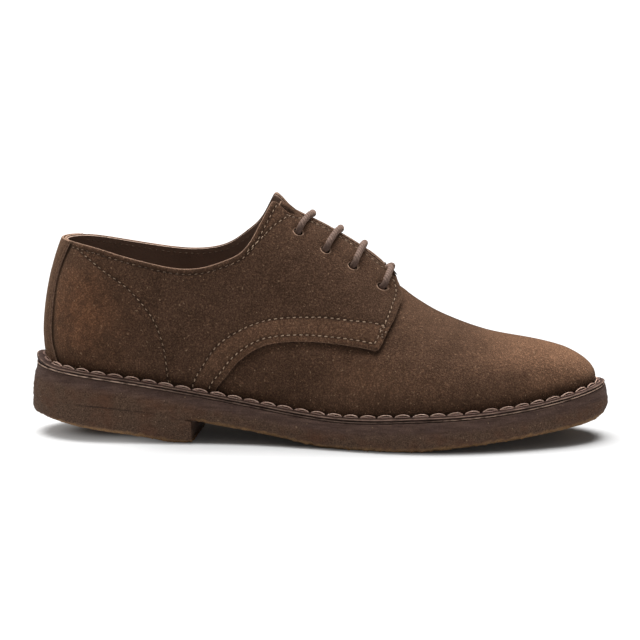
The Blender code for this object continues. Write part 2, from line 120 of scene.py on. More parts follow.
RIDGE = {
    "x": (0, 60, 95, 110, 122, 131, 143, 156, 168, 178, 188, 198, 211, 224, 237, 257, 273),
    "y": (0, 0, 0, 0, 0, 0, 0, 0.3, 0.8, 1.4, 2, 2.6, 3.6, 4.6, 5.5, 6.2, 5.4),
    "z": (137, 137, 134.5, 130.2, 124.8, 120.2, 114.6, 107.8, 99.8, 91, 80.2, 71.3, 63.9, 58.6,
          54.7, 51.4, 48),
}
SECTION = {
    "x": (0, 48, 100, 138, 165, 180, 200, 235, 260, 290),
    "side_power": (0.79, 0.63, 0.65, 0.69, 0.86, 0.92, 0.93, 0.88, 0.86, 1),
    "crown_power": (1, 1, 1, 1, 1.2, 1.32, 1.2, 0.96, 0.9, 0.95),
    "lateral_swell": (1.9, 2.4, 2, 2, 2.4, 2.9, 3, 2.6, 2, 1),
    "medial_swell": (1.9, 2.4, 1.6, 1.2, 1.6, 2.1, 2.4, 2.6, 2.2, 1),
    "swell_height": (18, 18, 18, 17, 16, 15, 14, 11, 9, 6),
}
LATERAL_COLLAR = {
    "x": (7, 14, 28, 43, 59, 75, 87, 99, 107, 111.7, 115.2, 119.2, 121.7, 127.5),
    "z": (104.8, 103.9, 101.6, 97.6, 93.7, 91, 91.9, 95.9, 100.6, 106.9, 113.8, 121.4, 125.6, 134),
}
MEDIAL_COLLAR = {
    "x": (7, 14, 28, 43, 60, 75, 87, 97, 105, 110.5, 114.5, 118.5, 121.5, 127),
    "z": (104.8, 104.4, 102.2, 99.6, 97.2, 96.3, 97.6, 101.5, 107.4, 112.2, 117.6, 124.4, 128.2, 136),
}
FACING_GAP = {
    "x": (116, 123, 126, 129, 133, 138, 144, 188),
    "lateral": (8.4, 9.2, 9.9, 10.1, 8.8, 6.8, 6.3, 6.3),
    "medial": (5, 5.2, 5.5, 5.8, 6.1, 6.3, 6.3, 6.3),
}

# --- Panels and seams on the chart: x is the station on the feather line, up the way up the last

QUARTER_FRONT = {
    "x": (183.6, 186.6, 188.6, 188.7, 187.9, 185.8, 184.2, 182.4, 180.5, 178.9),
    "up": (86.7, 81.2, 74.2, 68, 63.5, 53.1, 48.8, 44.2, 39.1, 35.9),
}
QUARTER_LOWER = {
    "x": (92.2, 93.7, 97.8, 102.8, 108.4, 114.8, 122.9, 130.9, 139.1, 147.1, 155.1, 163.1, 171,
          177.6),
    "up": (-1.5, 2.9, 8.8, 16.3, 22.5, 27.9, 32.1, 34.5, 36.2, 37, 37.2, 36.9, 36, 34.8),
}
SECOND_ROW = {
    "x": (80.6, 82.1, 86.3, 93.6, 104.3, 114.8, 126.1, 140.5, 153.3, 163.5, 173.7, 177.6, 181.9),
    "up": (0, 4.9, 13.1, 24.9, 34.5, 41.2, 45.8, 48.9, 50.3, 50.1, 49.9, 49.5, 48.4),
}
COUNTER_ROW = {
    "x": (68.4, 67.8, 66.7, 64.7, 61.7, 58.7, 54.6, 50.1, 42.4, 35.9, 27.8, 18.7, 13.4),
    "up": (0, 6.6, 16.9, 24.6, 31.6, 36, 40.6, 44.8, 50, 53.1, 57.2, 61.5, 64),
}
CORNER_ROW = {
    "x": (108.6, 112.5, 116.7, 119.7, 122.3, 125.1, 127.1, 129.3, 131.3),
    "up": (76.5, 81.3, 86.3, 90.5, 94.1, 97.2, 99.6, 102, 103.8),
}
BACK_STRIP = {
    "up": (-1.5, 4.3, 11.2, 26.4, 49.3, 65.6, 70),
    "x": (8.4, 8.1, 7, 6.3, 6.5, 9.2, 10.2),
}

SUEDE = 1.3             # thickness of the outer suede
LINING = 0.75           # thickness of the lining behind it
LAYER_GAP = 0.14        # between the suede and the lining
SEAM_OVERLAP = 0.7      # how far the quarters run on past the middle of the heel
PANEL_FOOT = -1.5       # where the quarters and the back strip end, under the feather line
CORNER_RADIUS = 1.1     # softness of the corners of a cut panel
CORNER_FROM = 105.0     # the collar's corner lies in front of this station
MEDIAL_SHIFT = 4.0      # how far the medial quarter's front edge lies behind the lateral one's
VAMP_BACK = 176.0       # the quarters' lining ends here and the vamp's top begins
LINE_STEP = 0.5         # between two points of a line on the chart
OUTLINE_STEP = 0.25     # between two points of a panel's outline
EYELET_RADIUS = 2.4
STITCH_PITCH = 3.3
STITCH_SHARE = 0.64     # length of a stitch in its pitch
TACK_PITCH = 2.2
WELT_PITCH = 9.1
LOOP_WIDTH = 7.9        # one loop of the welt's thread
LOOP_REACH = 1.5
EDGE_ROW = 3.4          # distance of the first seam from the quarter's cut edge
COLLAR_ROW = 2.9
FACING_ROW = 2.4

# --- Curves through tables ---


def spline(xs, ys):
    """Return a natural cubic spline through the points, straight beyond its ends."""
    xs, ys = np.array(xs, dtype=float), np.array(ys, dtype=float)
    gap = np.diff(xs)
    rate = np.diff(ys) / gap
    matrix, right = np.eye(len(xs)), np.zeros(len(xs))
    for i in range(1, len(xs) - 1):
        matrix[i, i - 1:i + 2] = gap[i - 1], 2 * (gap[i - 1] + gap[i]), gap[i]
        right[i] = 6 * (rate[i] - rate[i - 1])
    bend = np.linalg.solve(matrix, right)

    def value(x):
        x = np.asarray(x, dtype=float)
        inside = np.clip(x, xs[0], xs[-1])
        i = np.clip(np.searchsorted(xs, inside) - 1, 0, len(xs) - 2)
        step = gap[i]
        after = (inside - xs[i]) / step
        before = 1 - after
        curve = before * ys[i] + after * ys[i + 1]
        curve += step ** 2 / 6 * ((before ** 3 - before) * bend[i] + (after ** 3 - after) * bend[i + 1])
        return curve + np.where(x < xs[0], rate[0], rate[-1]) * (x - inside)

    return value


def level_curve(xs, ys):
    """Return a curve through the points that never overshoots, so that flat stretches stay flat."""
    xs, ys = np.array(xs, dtype=float), np.array(ys, dtype=float)
    rate = np.diff(ys) / np.diff(xs)
    product = rate[:-1] * rate[1:]
    mean = np.where(product > 0, 2 * product / np.where(product > 0, rate[:-1] + rate[1:], 1), 0)
    slope = np.concatenate(([rate[0]], mean, [rate[-1]]))

    def value(x):
        x = np.asarray(x, dtype=float)
        i = np.clip(np.searchsorted(xs, x) - 1, 0, len(xs) - 2)
        step = xs[i + 1] - xs[i]
        t = np.clip((x - xs[i]) / step, 0, 1)
        left = ys[i] * (1 + 2 * t) * (1 - t) ** 2 + ys[i + 1] * t ** 2 * (3 - 2 * t)
        return left + step * (slope[i] * t * (1 - t) ** 2 - slope[i + 1] * t ** 2 * (1 - t))

    return value


def angle_at(x):
    """Turn a distance along the shoe into a station's angle: 0 at the heel, pi at the toe."""
    return np.arccos(np.clip(1 - 2 * np.asarray(x, dtype=float) / LENGTH, -1, 1))


def plan_spread():
    """Half width divided by the sine of the station's angle, which stays finite at both ends."""
    angles = angle_at(PLAN["x"])
    heel, toe = (math.sqrt(radius * LENGTH / 2) for radius in (HEEL_RADIUS, TOE_RADIUS))
    return spline([0.0, *angles, math.pi], [heel, *PLAN["half_width"] / np.sin(angles), toe])


SPREAD = plan_spread()
CENTRE = spline(PLAN["x"], PLAN["centre"])
FEATHER_Z = spline(*FEATHER.values())
TREAD_Z = level_curve(*TREAD.values())
HEEL_TREAD_Z = level_curve(*HEEL_TREAD.values())
CREPE_OUT = spline(*CREPE_REACH.values())
RIDGE_Y = spline(RIDGE["x"], RIDGE["y"])
RIDGE_Z = spline(RIDGE["x"], RIDGE["z"])
SHAPE = {name: spline(SECTION["x"], SECTION[name]) for name in SECTION if name != "x"}
FACING_Y = {side: level_curve(FACING_GAP["x"], FACING_GAP[name]) for side, name in SIDES.items()}
COLLAR_Z = {-1: spline(*LATERAL_COLLAR.values()), 1: spline(*MEDIAL_COLLAR.values())}


def welt_spread(x):
    """How much wider the welt is than its table, round the heel."""
    return 1 + WELT_HEEL_REACH / WELT_REACH * (1 - np.asarray(x, dtype=float).clip(0) / 70).clip(0)


def welt_rise(x):
    """How far the welt turns up, round the heel's end."""
    return WELT_HEEL_RISE * (1 - np.asarray(x, dtype=float) / WELT_RISE_LENGTH).clip(0) ** 2


def fade(value, start, end):
    """Ease from 0 at start to 1 at end."""
    t = np.clip((value - start) / (end - start), 0, 1)
    return t * t * (3 - 2 * t)


def bump(value, centre, width):
    """A soft hump of height 1."""
    return np.exp(-((value - centre) / width) ** 2)


def lattice_noise(points, size, seed=0):
    """Smooth noise from -1 to 1 whose features are about size across, along each axis."""
    place = np.asarray(points, dtype=float) / size
    cell = np.floor(place).astype(np.int64)
    t = place - cell
    t = t * t * t * (t * (t * 6 - 15) + 10)
    total = 0
    for corner in range(8):
        offset = np.array((corner & 1, corner >> 1 & 1, corner >> 2 & 1))
        at = cell + offset
        number = at[..., 0] * 73856093 ^ at[..., 1] * 19349663 ^ at[..., 2] * 83492791 ^ seed * 374761393
        number = (number ^ number >> 13) * 1274126177 & 0xFFFFFFFF
        number = (number ^ number >> 16) & 0xFFFF
        share = np.where(offset == 1, t, 1 - t).prod(axis=-1)
        total = total + share * (number / 32767.5 - 1)
    return total


# --- Chart of the last ---

CHART_STEP = 0.8        # between two stations, round the feather line
CHART_ROWS = 240        # rows up each section
SAMPLES = 160
FINE_ANGLES = 4000


def unit(vectors):
    """Make vectors one long."""
    return vectors / np.linalg.norm(vectors, axis=-1, keepdims=True)


def left_of(directions):
    """Unit vectors square to flat directions, to their left."""
    return unit(np.stack((-directions[:, 1], directions[:, 0]), axis=1))


def away_from(place, points):
    """Distance of each point from a place."""
    return np.linalg.norm(points - place, axis=-1)


def feather_plan(angle, side):
    """Plan points of the feather line at these stations."""
    x = LENGTH / 2 * (1 - np.cos(angle))
    return np.stack((x, CENTRE(x) + side * SPREAD(angle) * np.sin(angle)), axis=-1)


def outline_plan(angle, side, reach):
    """Plan points that lie reach outside the feather line, square to it."""
    step = 0.01
    tangent = feather_plan(angle + step, side) - feather_plan(angle - step, side)
    tangent[angle < step] = (0, side)
    tangent[angle > math.pi - step] = (0, -side)
    return feather_plan(angle, side) + np.asarray(reach)[..., None] * side * left_of(tangent)


def loop_plan(angle, reach):
    """Plan points all round the feather line, reach outside it: lateral side, then medial."""
    lateral, medial = (outline_plan(angle, side, reach) for side in (-1, 1))
    return np.concatenate((lateral, medial[-2:0:-1]))


def sections(angle, side):
    """Lines of points up the last, from the feather line to the ridge, one for each station."""
    foot = feather_plan(angle, side)
    x = foot[:, 0]
    squeeze = TOE_SQUEEZE * ((x - TOE_START).clip(0) / (LENGTH - TOE_START)) ** 2
    spine_x = x.clip(HEEL_AXIS) - squeeze
    spine = np.stack((spine_x, RIDGE_Y(spine_x)), axis=1)
    across = foot - spine
    width = np.linalg.norm(across, axis=1)[:, None]
    direction = across / width
    slope = (RIDGE_Z(spine_x + 1) - RIDGE_Z(spine_x))[:, None]
    low = FEATHER_Z(x)[:, None]
    shape = {name: curve(x)[:, None] for name, curve in SHAPE.items()}
    swell = shape["lateral_swell" if side < 0 else "medial_swell"]
    turn = math.pi / 2 * np.linspace(0, 1, SAMPLES) ** 1.4
    run = width * np.cos(turn).clip(0) ** shape["crown_power"]
    height = (RIDGE_Z(spine_x)[:, None] - low) * np.sin(turn) ** shape["side_power"]
    part = height / shape["swell_height"]
    out = run + swell * part * np.exp(1 - part) * np.cos(turn)
    points = np.empty((*out.shape, 3))
    points[..., :2] = spine[:, None] + out[..., None] * direction[:, None]
    points[..., 2] = low + height + slope * direction[:, :1] * run * np.sin(turn) ** 2 + SEAT_GAP
    return points


def walked(points):
    """Distance along a line of points, from its start."""
    steps = np.linalg.norm(np.diff(points, axis=0), axis=1)
    return np.concatenate(([0], np.cumsum(steps)))


def read_off(wanted, length, points):
    """Points of a line at the wanted lengths; length holds each of its points' own."""
    return np.column_stack([np.interp(wanted, length, column) for column in points.T])


def resampled(points, count):
    """Divide a line of points into count equal lengths."""
    length = walked(points)
    return read_off(np.linspace(0, length[-1], count + 1), length, points)


class Chart:
    """The last's surface as a function of the way round the feather line and the way up."""

    def __init__(self):
        fine = np.linspace(0, math.pi, FINE_ANGLES)
        self.angles, self.along, self.step = {}, {}, {}
        columns = {}
        for side in (-1, 1):
            length = walked(feather_plan(fine, side))
            count = round(length[-1] / CHART_STEP)
            self.step[side] = length[-1] / count
            self.along[side] = np.linspace(0, length[-1], count + 1)
            self.angles[side] = np.interp(self.along[side], length, fine)
            columns[side] = sections(self.angles[side], side)
        self.before = len(columns[-1]) - 1
        loop = np.concatenate((columns[-1][:0:-1], columns[1][:-1]))
        self.lengths = np.array([walked(column)[-1] for column in loop])
        grid = np.array([resampled(column, CHART_ROWS) for column in loop])
        self.grid = np.concatenate((
            2 * grid[:, :1] - grid[:, 1:2], grid, 2 * grid[:, -1:] - grid[:, -2:-1]), axis=1)

    @staticmethod
    def weights(t):
        """Weights of four samples for a place t of the way from the second to the third."""
        return (-0.5 * t + t ** 2 - 0.5 * t ** 3, 1 - 2.5 * t ** 2 + 1.5 * t ** 3,
                0.5 * t + 2 * t ** 2 - 1.5 * t ** 3, -0.5 * t ** 2 + 0.5 * t ** 3)

    def columns(self, along):
        """Four columns of the grid round each place, with their weights."""
        place = along / np.where(along < 0, self.step[-1], self.step[1])
        first = np.floor(place).astype(int)
        count = len(self.grid)
        return [((first + k + self.before) % count, weight)
                for k, weight in zip((-1, 0, 1, 2), self.weights(place - first))]

    def length(self, along):
        """Length of the section, feather line to ridge."""
        return sum(weight * self.lengths[column] for column, weight in self.columns(along))

    def point(self, along, up):
        """Points on the last; below the feather line they carry straight on."""
        along, up = np.broadcast_arrays(np.asarray(along, float), np.asarray(up, float))
        place = up.clip(0) / self.length(along) * CHART_ROWS
        row = np.clip(np.floor(place).astype(int), 0, CHART_ROWS - 1)
        total = np.zeros((*along.shape, 3))
        for column, share in self.columns(along):
            for k, weight in enumerate(self.weights(place - row)):
                total += (share * weight)[..., None] * self.grid[column, row + k]
            down = unit(self.grid[column, 1] - self.grid[column, 2])
            total += (share * -up.clip(max=0))[..., None] * down
        return total

    def normal(self, along, up):
        """Directions square to the last, outwards."""
        step = 0.5
        high = np.minimum(up + step, self.length(along))
        rise = self.point(along, high) - self.point(along, high - 2 * step)
        across = self.point(along + step, up) - self.point(along - step, up)
        return unit(np.cross(rise, across))

    def at_x(self, x, side):
        """The way round the feather line to the station at x, counted positive on both sides."""
        return np.interp(angle_at(x), self.angles[side], self.along[side])

    def first_over(self, side, beyond):
        """For each station, how far up its section beyond(points) first turns positive."""
        grid = self.grid[:, 1:-1]
        loop = np.arange(len(self.along[side]))
        column = (self.before + side * loop) % len(grid)
        value = beyond(grid[column])
        over = value > 0
        row = np.where(over.any(axis=1), over.argmax(axis=1), CHART_ROWS)
        low = np.take_along_axis(value, (row - 1).clip(0)[:, None], 1)[:, 0]
        high = np.take_along_axis(value, row[:, None], 1)[:, 0]
        share = np.where(high > low, -low / np.where(high > low, high - low, 1), 1).clip(0, 1)
        return (row - 1 + share) / CHART_ROWS * self.lengths[column]


CHART = Chart()


def on_last(side, flat, lift=0.0):
    """Points that stand lift off the last at chart points."""
    place = side * flat[:, 0], flat[:, 1]
    return CHART.point(*place) + CHART.normal(*place) * np.asarray(lift)[..., None]


def from_ridge(side, flat):
    """How far chart points lie down from the ridge."""
    return CHART.length(side * flat[:, 0]) - flat[:, 1]


def facing_gap(x, side):
    """Half the gap between the facings, closing at the throat."""
    closing = np.sqrt(1 - (1 - np.clip((THROAT_END + 1 - x) / 8.0, 0, 1)) ** 2)
    return FACING_Y[side](x) * (0.35 + 0.65 * closing)


def collar_line(side):
    """The collar's edge on the chart, from the heel to in front of the corner."""
    up = CHART.first_over(side, lambda p: p[..., 2] - COLLAR_Z[side](p[..., 0]))
    return np.column_stack((CHART.along[side], up))


def facing_line(side):
    """The facing's edge on the chart, from behind the corner to the throat."""
    def beyond(points):
        return facing_gap(points[..., 0], side) - np.abs(points[..., 1] - RIDGE_Y(points[..., 0]))
    return np.column_stack((CHART.along[side], CHART.first_over(side, beyond)))


def chart_line(table, side):
    """A seam from its table, as a smooth line on the chart."""
    points = np.column_stack((CHART.at_x(table["x"], side), table["up"]))
    place = walked(points)
    fine = np.linspace(0, place[-1], int(place[-1] / LINE_STEP) + 2)
    return np.column_stack([spline(place, column)(fine) for column in points.T])


def between(line, low, high):
    """The part of a line whose first column lies between two values."""
    return line[(line[:, 0] > low) & (line[:, 0] < high)]


def top_line(side):
    """The quarter's free edge: collar up to the corner, then facing to the front edge."""
    collar, facing = collar_line(side), facing_line(side)
    crossed = (facing[:, 1] < collar[:, 1]) & (collar[:, 0] > CHART.at_x(CORNER_FROM, side))
    corner = collar[crossed.argmax(), 0]
    front = CHART.at_x(QUARTER_FRONT["x"][0], side)
    return between(collar, 0.0, corner), between(facing, corner, front)


def leftwards(line, closed=False):
    """Directions square to a flat line of points, to its left."""
    if closed:
        return left_of(np.roll(line, -1, axis=0) - np.roll(line, 1, axis=0))
    return left_of(np.gradient(line, axis=0))


def blurred(line, step, reach, width, closed=False):
    """Resample a flat line and take out its kinks, looking reach steps to each side."""
    if closed:
        line = np.concatenate((line, line[:1]))
    fine = resampled(line, int(walked(line)[-1] / step))[:-1 if closed else None]
    kernel = bump(np.arange(-reach, reach + 1) * step, 0, width)
    kernel /= kernel.sum()
    fine = np.pad(fine, ((reach, reach), (0, 0)), mode="wrap" if closed else "edge")
    return np.column_stack([np.convolve(fine[:, k], kernel, mode="valid") for k in range(2)])


def rounded_loop(points, radius):
    """Resample a closed outline finely and soften its corners."""
    return blurred(points, OUTLINE_STEP, int(3 * radius / OUTLINE_STEP), radius, closed=True)


def softened(line):
    """Take the kinks out of an open line."""
    return blurred(line, LINE_STEP, 6, 1.5)


def cut_edge(side):
    """The quarter's lower and front edges as one line, heel to throat."""
    front = chart_line(QUARTER_FRONT, side)[::-1]
    if side > 0:
        front[:, 0] -= MEDIAL_SHIFT * fade(front[:, 1], 55, 75)
    return np.concatenate((chart_line(QUARTER_LOWER, side), front))


def quarter_outline(side, heel_start):
    """The quarter's cut outline on the chart, anticlockwise from the heel."""
    collar, facing = top_line(side)
    collar = collar[collar[:, 0] > heel_start]
    back = np.array([(heel_start, collar[0, 1]), (heel_start, PANEL_FOOT)])
    return rounded_loop(np.concatenate((back[1:], cut_edge(side), facing[::-1], collar[::-1],
                                        back[:1])), CORNER_RADIUS)


# --- Cut sheets ---

EDGE_RINGS = (0.0, 0.2, 0.5, 0.95, 1.5)


def inside(points, loop):
    """Whether each point lies inside a closed outline."""
    result = np.zeros(len(points), dtype=bool)
    following = np.roll(loop, -1, axis=0)
    for start in range(0, len(points), 4000):
        part = points[start:start + 4000]
        px, py = part[:, :1], part[:, 1:]
        crosses = (loop[:, 1] > py) != (following[:, 1] > py)
        rise = following[:, 1] - loop[:, 1]
        at = loop[:, 0] + (py - loop[:, 1]) * (following[:, 0] - loop[:, 0]) / np.where(rise == 0, 1, rise)
        result[start:start + 4000] = (crosses & (px < at)).sum(axis=1) % 2 == 1
    return result


def nearest(points, line):
    """Distance from each point to a dense line of points, in two or three dimensions."""
    pad = np.zeros((len(line), 3 - line.shape[1]))
    tree = kdtree.KDTree(len(line))
    for i, place in enumerate(np.column_stack((line, pad))):
        tree.insert(place, i)
    tree.balance()
    pad = np.zeros((len(points), 3 - points.shape[1]))
    return np.array([tree.find(place)[2] for place in np.column_stack((points, pad))])


def from_cut(side, flat):
    """Distance of chart points from the quarter's cut edge."""
    return nearest(flat, resampled(cut_edge(side), 900))


def inset_rings(loop, spacing, offsets):
    """Rings of points at these distances inside an outline, or outside it for a hole."""
    closed = np.concatenate((loop, loop[:1]))
    ring = resampled(closed, int(walked(closed)[-1] / spacing))[:-1]
    return [ring + leftwards(ring, closed=True) * offset for offset in offsets]


def circle(centre, radius):
    """A round hole's outline, clockwise."""
    turn = np.linspace(0, 2 * math.pi, 73)[:-1]
    return np.column_stack((centre[0] + radius * np.cos(turn), centre[1] - radius * np.sin(turn)))


def cut_sheet(outline, holes=(), spacing=0.85):
    """Mesh a flat outline: rings of quads along each cut edge and a lattice of triangles inside.

    Returns the points, their distance from the edge, the faces, and the loops of edge points.
    """
    flat, distance, faces, loops, fences = [], [], [], [], []
    total = 0
    for loop, gap in [(outline, 0.75)] + [(hole, 0.45) for hole in holes]:
        rings = inset_rings(loop, gap, EDGE_RINGS)
        count = len(rings[0])
        names = total + np.arange(len(rings) * count).reshape(len(rings), count)
        faces += [tuple(face) for face in grid_faces(len(rings), count, total, closed=True)]
        loops.append(names[0])
        fences.append(names[-1])
        flat += rings
        distance += [np.full(count, offset) for offset in EDGE_RINGS]
        total += names.size
    flat = np.concatenate(flat)

    def within(points):
        """Whether points lie inside the innermost rings of the outline and outside every hole's."""
        kept = inside(points, flat[fences[0]])
        for fence in fences[1:]:
            kept &= ~inside(points, flat[fence])
        return kept

    low, high = outline.min(axis=0), outline.max(axis=0)
    rise = spacing * math.sqrt(3) / 2
    columns, rows = np.meshgrid(np.arange((high[0] - low[0]) / spacing),
                                np.arange((high[1] - low[1]) / rise))
    lattice = np.column_stack((low[0] + ((columns + 0.5 * (rows % 2)) * spacing).ravel(),
                               low[1] + (rows * rise).ravel()))
    lattice = lattice[within(lattice)]
    border = np.concatenate([flat[fence] for fence in fences])
    lattice = lattice[nearest(lattice, border) > 0.55 * spacing]
    corners = np.concatenate((border, lattice))
    edges, start = [], 0
    for fence in fences:
        ring = start + np.arange(len(fence))
        edges += np.column_stack((ring, np.roll(ring, -1))).tolist()
        start += len(fence)
    made = geometry.delaunay_2d_cdt([Vector(c) for c in corners], edges, [], 0, 1e-6)
    source = np.array([group[0] if group else -1 for group in made[3]])
    triangles = source[np.array(made[2])]
    keep = within(corners[triangles].mean(axis=1)) & (triangles >= 0).all(axis=1)
    names = np.concatenate((*fences, total + np.arange(len(lattice))))
    faces += [tuple(face) for face in names[triangles[keep]]]
    distance.append(np.full(len(lattice), EDGE_RINGS[-1] + 1))
    return np.concatenate((flat, lattice)), np.concatenate(distance), faces, loops


def thickened(top, under, faces, loops, raw, wall_rows=3, **shades):
    """Close a sheet with its underside and with walls along its cut edges.

    The raw mark runs down the walls, and the other marks are for the sheet's top alone.
    """
    count = len(top)
    points, marks = [top, under], [raw, np.zeros(count)]
    both = list(faces) + [tuple(i + count for i in face[::-1]) for face in faces]
    total = 2 * count
    for loop in loops:
        rows = [loop]
        for k in range(1, wall_rows):
            share = k / wall_rows
            points.append(top[loop] * (1 - share) + under[loop] * share)
            marks.append(raw[loop])
            rows.append(total + np.arange(len(loop)))
            total += len(loop)
        rows.append(loop + count)
        for upper, lower in zip(rows, rows[1:]):
            both += zip(upper, lower, np.roll(lower, -1), np.roll(upper, -1))
    marks = {"raw": np.concatenate(marks)}
    for name, values in shades.items():
        marks[name] = np.concatenate((values, np.zeros(total - count)))
    return np.concatenate(points), both, marks


# --- Blender objects ---

def frame_shift():
    """Offset from the shoe's own frame to the row frame, read from the welt's box, in mm."""
    low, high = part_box("welt")
    fine = np.linspace(0, math.pi, 721)
    reach = WELT_REACH * welt_spread(feather_plan(fine, 1)[:, 0])
    edge = loop_plan(fine, reach)
    middle = (edge.max(axis=0) + edge.min(axis=0)) / 2
    return np.array(((low.x + high.x) / 2 / MM - middle[0], (low.y + high.y) / 2 / MM - middle[1], 0))


def placed(name, data):
    """Put a new object with this data into the scene."""
    made = bpy.data.objects.new(name, data)
    bpy.context.scene.collection.objects.link(made)
    return made


def marked(mesh, label, values):
    """Give a mesh a number at each point, for its material."""
    layer = mesh.attributes.new(label, "FLOAT", "POINT")
    layer.data.foreach_set("value", np.asarray(values, dtype=np.float32))


def add_mesh(name, finish, slot, points, faces, marks=(), flip=False, replaces=()):
    """Make a mesh object from points in the shoe's frame, and hand it to the frame."""
    mesh = bpy.data.meshes.new(name)
    faces = [tuple(int(i) for i in (face[::-1] if flip else face)) for face in faces]
    mesh.from_pydata(((points + SHIFT) * MM).tolist(), [], faces)
    mesh.validate()
    mesh.shade_smooth()
    mesh.set_sharp_from_angle(angle=math.radians(50))
    for label, values in dict(marks).items():
        marked(mesh, label, values)
    mesh.materials.append(finish)
    made = placed(name, mesh)
    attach(made, "root")
    if replaces:
        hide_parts(*replaces)


def grid_faces(rows, columns, start=0, closed=False):
    """Quads of a grid of points stored row by row; closed joins the last column to the first."""
    across = columns if closed else columns - 1
    r, c = np.meshgrid(np.arange(rows - 1), np.arange(across), indexing="ij")
    following = (c + 1) % columns
    quads = (r * columns + c, r * columns + following, (r + 1) * columns + following,
             (r + 1) * columns + c)
    return (start + np.stack([q.ravel() for q in quads], axis=1)).tolist()


# --- Small things repeated along a line ---

def tube_faces(rings, sides):
    """Faces of a tube with closed ends."""
    last = (rings - 1) * sides
    return grid_faces(rings, sides, closed=True) + [
        tuple(range(sides))[::-1], tuple(range(last, last + sides))]


def around(sides):
    """Angles of the points round a tube."""
    return np.linspace(0, 2 * math.pi, sides + 1)[:-1]


def beads(centres, along, square, length, width, height, rings=7, sides=6, dip=0.25):
    """Points and faces of short humped threads, one at each centre."""
    place = np.linspace(-1, 1, rings)[:, None]
    turn = around(sides)[:, None]
    girth = width / 2 * np.sqrt((1 - place ** 4).clip(0.02))
    centres, along, square = (part[:, None] for part in (centres, along, square))
    middle = centres + along * place * length / 2 + square * (height * (1 - place ** 2) - dip)
    ring = np.cross(square, along)[:, None] * np.cos(turn) + square[:, None] * np.sin(turn)
    points = middle[:, :, None] + girth[:, None] * ring
    faces = [tuple(i + k * rings * sides for i in face)
             for k in range(len(centres)) for face in tube_faces(rings, sides)]
    return points.reshape(-1, 3), faces


def joined(parts):
    """Join lists of (points, faces) into one."""
    points, faces = [], []
    total = 0
    for own, own_faces in parts:
        points.append(own)
        faces += [tuple(i + total for i in face) for face in own_faces]
        total += len(own)
    return np.concatenate(points), faces


def tube(path, radius, sides=12):
    """A round cord along a path; radius is one number or one for each point and side."""
    tangent = unit(np.gradient(path, axis=0))
    frame = np.empty_like(path)
    guess = np.array((0.0, 0.0, 1.0))
    for i, direction in enumerate(tangent):
        guess = frame[i] = unit(guess - direction * (guess @ direction))
    turn = around(sides)[:, None]
    ring = np.cos(turn) * frame[:, None] + np.sin(turn) * np.cross(tangent, frame)[:, None]
    radius = np.broadcast_to(radius, (len(path), sides))
    return (path[:, None] + radius[..., None] * ring).reshape(-1, 3), tube_faces(len(path), sides)


def smooth_path(points, step):
    """A smooth curve through the points, sampled evenly."""
    points = np.array(points)
    place = walked(points)
    fine = np.linspace(0, place[-1], int(place[-1] / step) + 2)
    curve = np.column_stack([spline(place, column)(fine) for column in points.T])
    return resampled(curve, int(walked(curve)[-1] / step))


# --- Seams on the quarters ---

def offset_line(line, distance):
    """A line that runs beside another on the chart, on its left."""
    fine = resampled(line, int(walked(line)[-1] / LINE_STEP))
    beside = fine + distance * leftwards(fine)
    return beside[nearest(beside, fine) > 0.95 * distance]


def seam_rows(side):
    """Every row of stitches on a quarter, as lines on the chart."""
    collar, facing = top_line(side)
    edge_row = offset_line(cut_edge(side), EDGE_ROW)
    collar_row = softened(offset_line(collar[::-1], COLLAR_ROW))
    collar_row = collar_row[collar_row[:, 0] > CHART.at_x(9.5, side)]
    facing_row = offset_line(softened(facing)[::-1], FACING_ROW)
    facing_row = between(facing_row, CHART.at_x(127.0, side), CHART.at_x(181.0, side))
    rows = [edge_row[edge_row[:, 1] > 0.5], collar_row, facing_row]
    rows += [chart_line(table, side) for table in (SECOND_ROW, COUNTER_ROW, CORNER_ROW)]
    tack = np.array((SECOND_ROW["x"][-1], SECOND_ROW["up"][-1]))
    zigzag = np.array([(CHART.at_x(tack[0] + dx, side), tack[1] + up)
                       for dx, up in ((0, 0), (-3.4, -2.2), (0.2, -3.0), (-2.6, -5.4), (-0.6, -6.6))])
    return rows, zigzag


def row_frames(side, line, lift, pitch):
    """Evenly spaced places along a chart line: centre, direction along it and outward direction."""
    path = on_last(side, line, lift)
    length = walked(path)
    count = max(int(length[-1] / pitch), 1)
    at = (np.arange(count) + 0.5) * length[-1] / count
    flat = read_off(at, length, line)
    along = unit(read_off(at + 0.6, length, path) - read_off(at - 0.6, length, path))
    square = CHART.normal(side * flat[:, 0], flat[:, 1])
    return flat, read_off(at, length, path), along, square


def slanted(along, square, angle):
    """Turn directions about the outward direction."""
    return along * np.cos(angle)[:, None] + np.cross(square, along) * np.sin(angle)[:, None]


# --- Form of the quarters ---

# How far the facing stands off the last along its length, over the tongue and the vamp's top.
FACING_STAND = {
    "x": (118, 126, 138, 152, 164, 174, 184, 190),
    "lift": (0.6, 0.6, 0.8, 0.9, 1.2, 1.7, 1.5, 0.8),
}
CORNER_FLARE = {-1: 2.4, 1: 4.0}
EYELETS = {
    "x": (135.3, 149.8, 164.1, 179.1),
    "down": (19.2, 22.2, 22, 20.5),
}
# Soft folds: two ends on the chart, half width and depth; a negative depth is a ridge.
QUARTER_FOLDS = {
    "x": (150, 166, 128, 104, 140),
    "up": (74, 68, 74, 60, 66),
    "end_x": (157, 172, 118, 92, 147),
    "end_up": (58, 56, 56, 30, 50),
    "width": (5, 5, 7, 9, 6),
    "depth": (0.35, -0.3, -0.35, 0.45, -0.3),
}
VAMP_FOLDS = {
    "x": (196, 204, 213, 222),
    "up": (22, 24, 24, 26),
    "end_x": (206, 213, 220, 228),
    "end_up": (52, 50, 46, 42),
    "width": (5, 4.5, 5, 5.5),
    "depth": (0.3, -0.28, 0.32, -0.22),
}


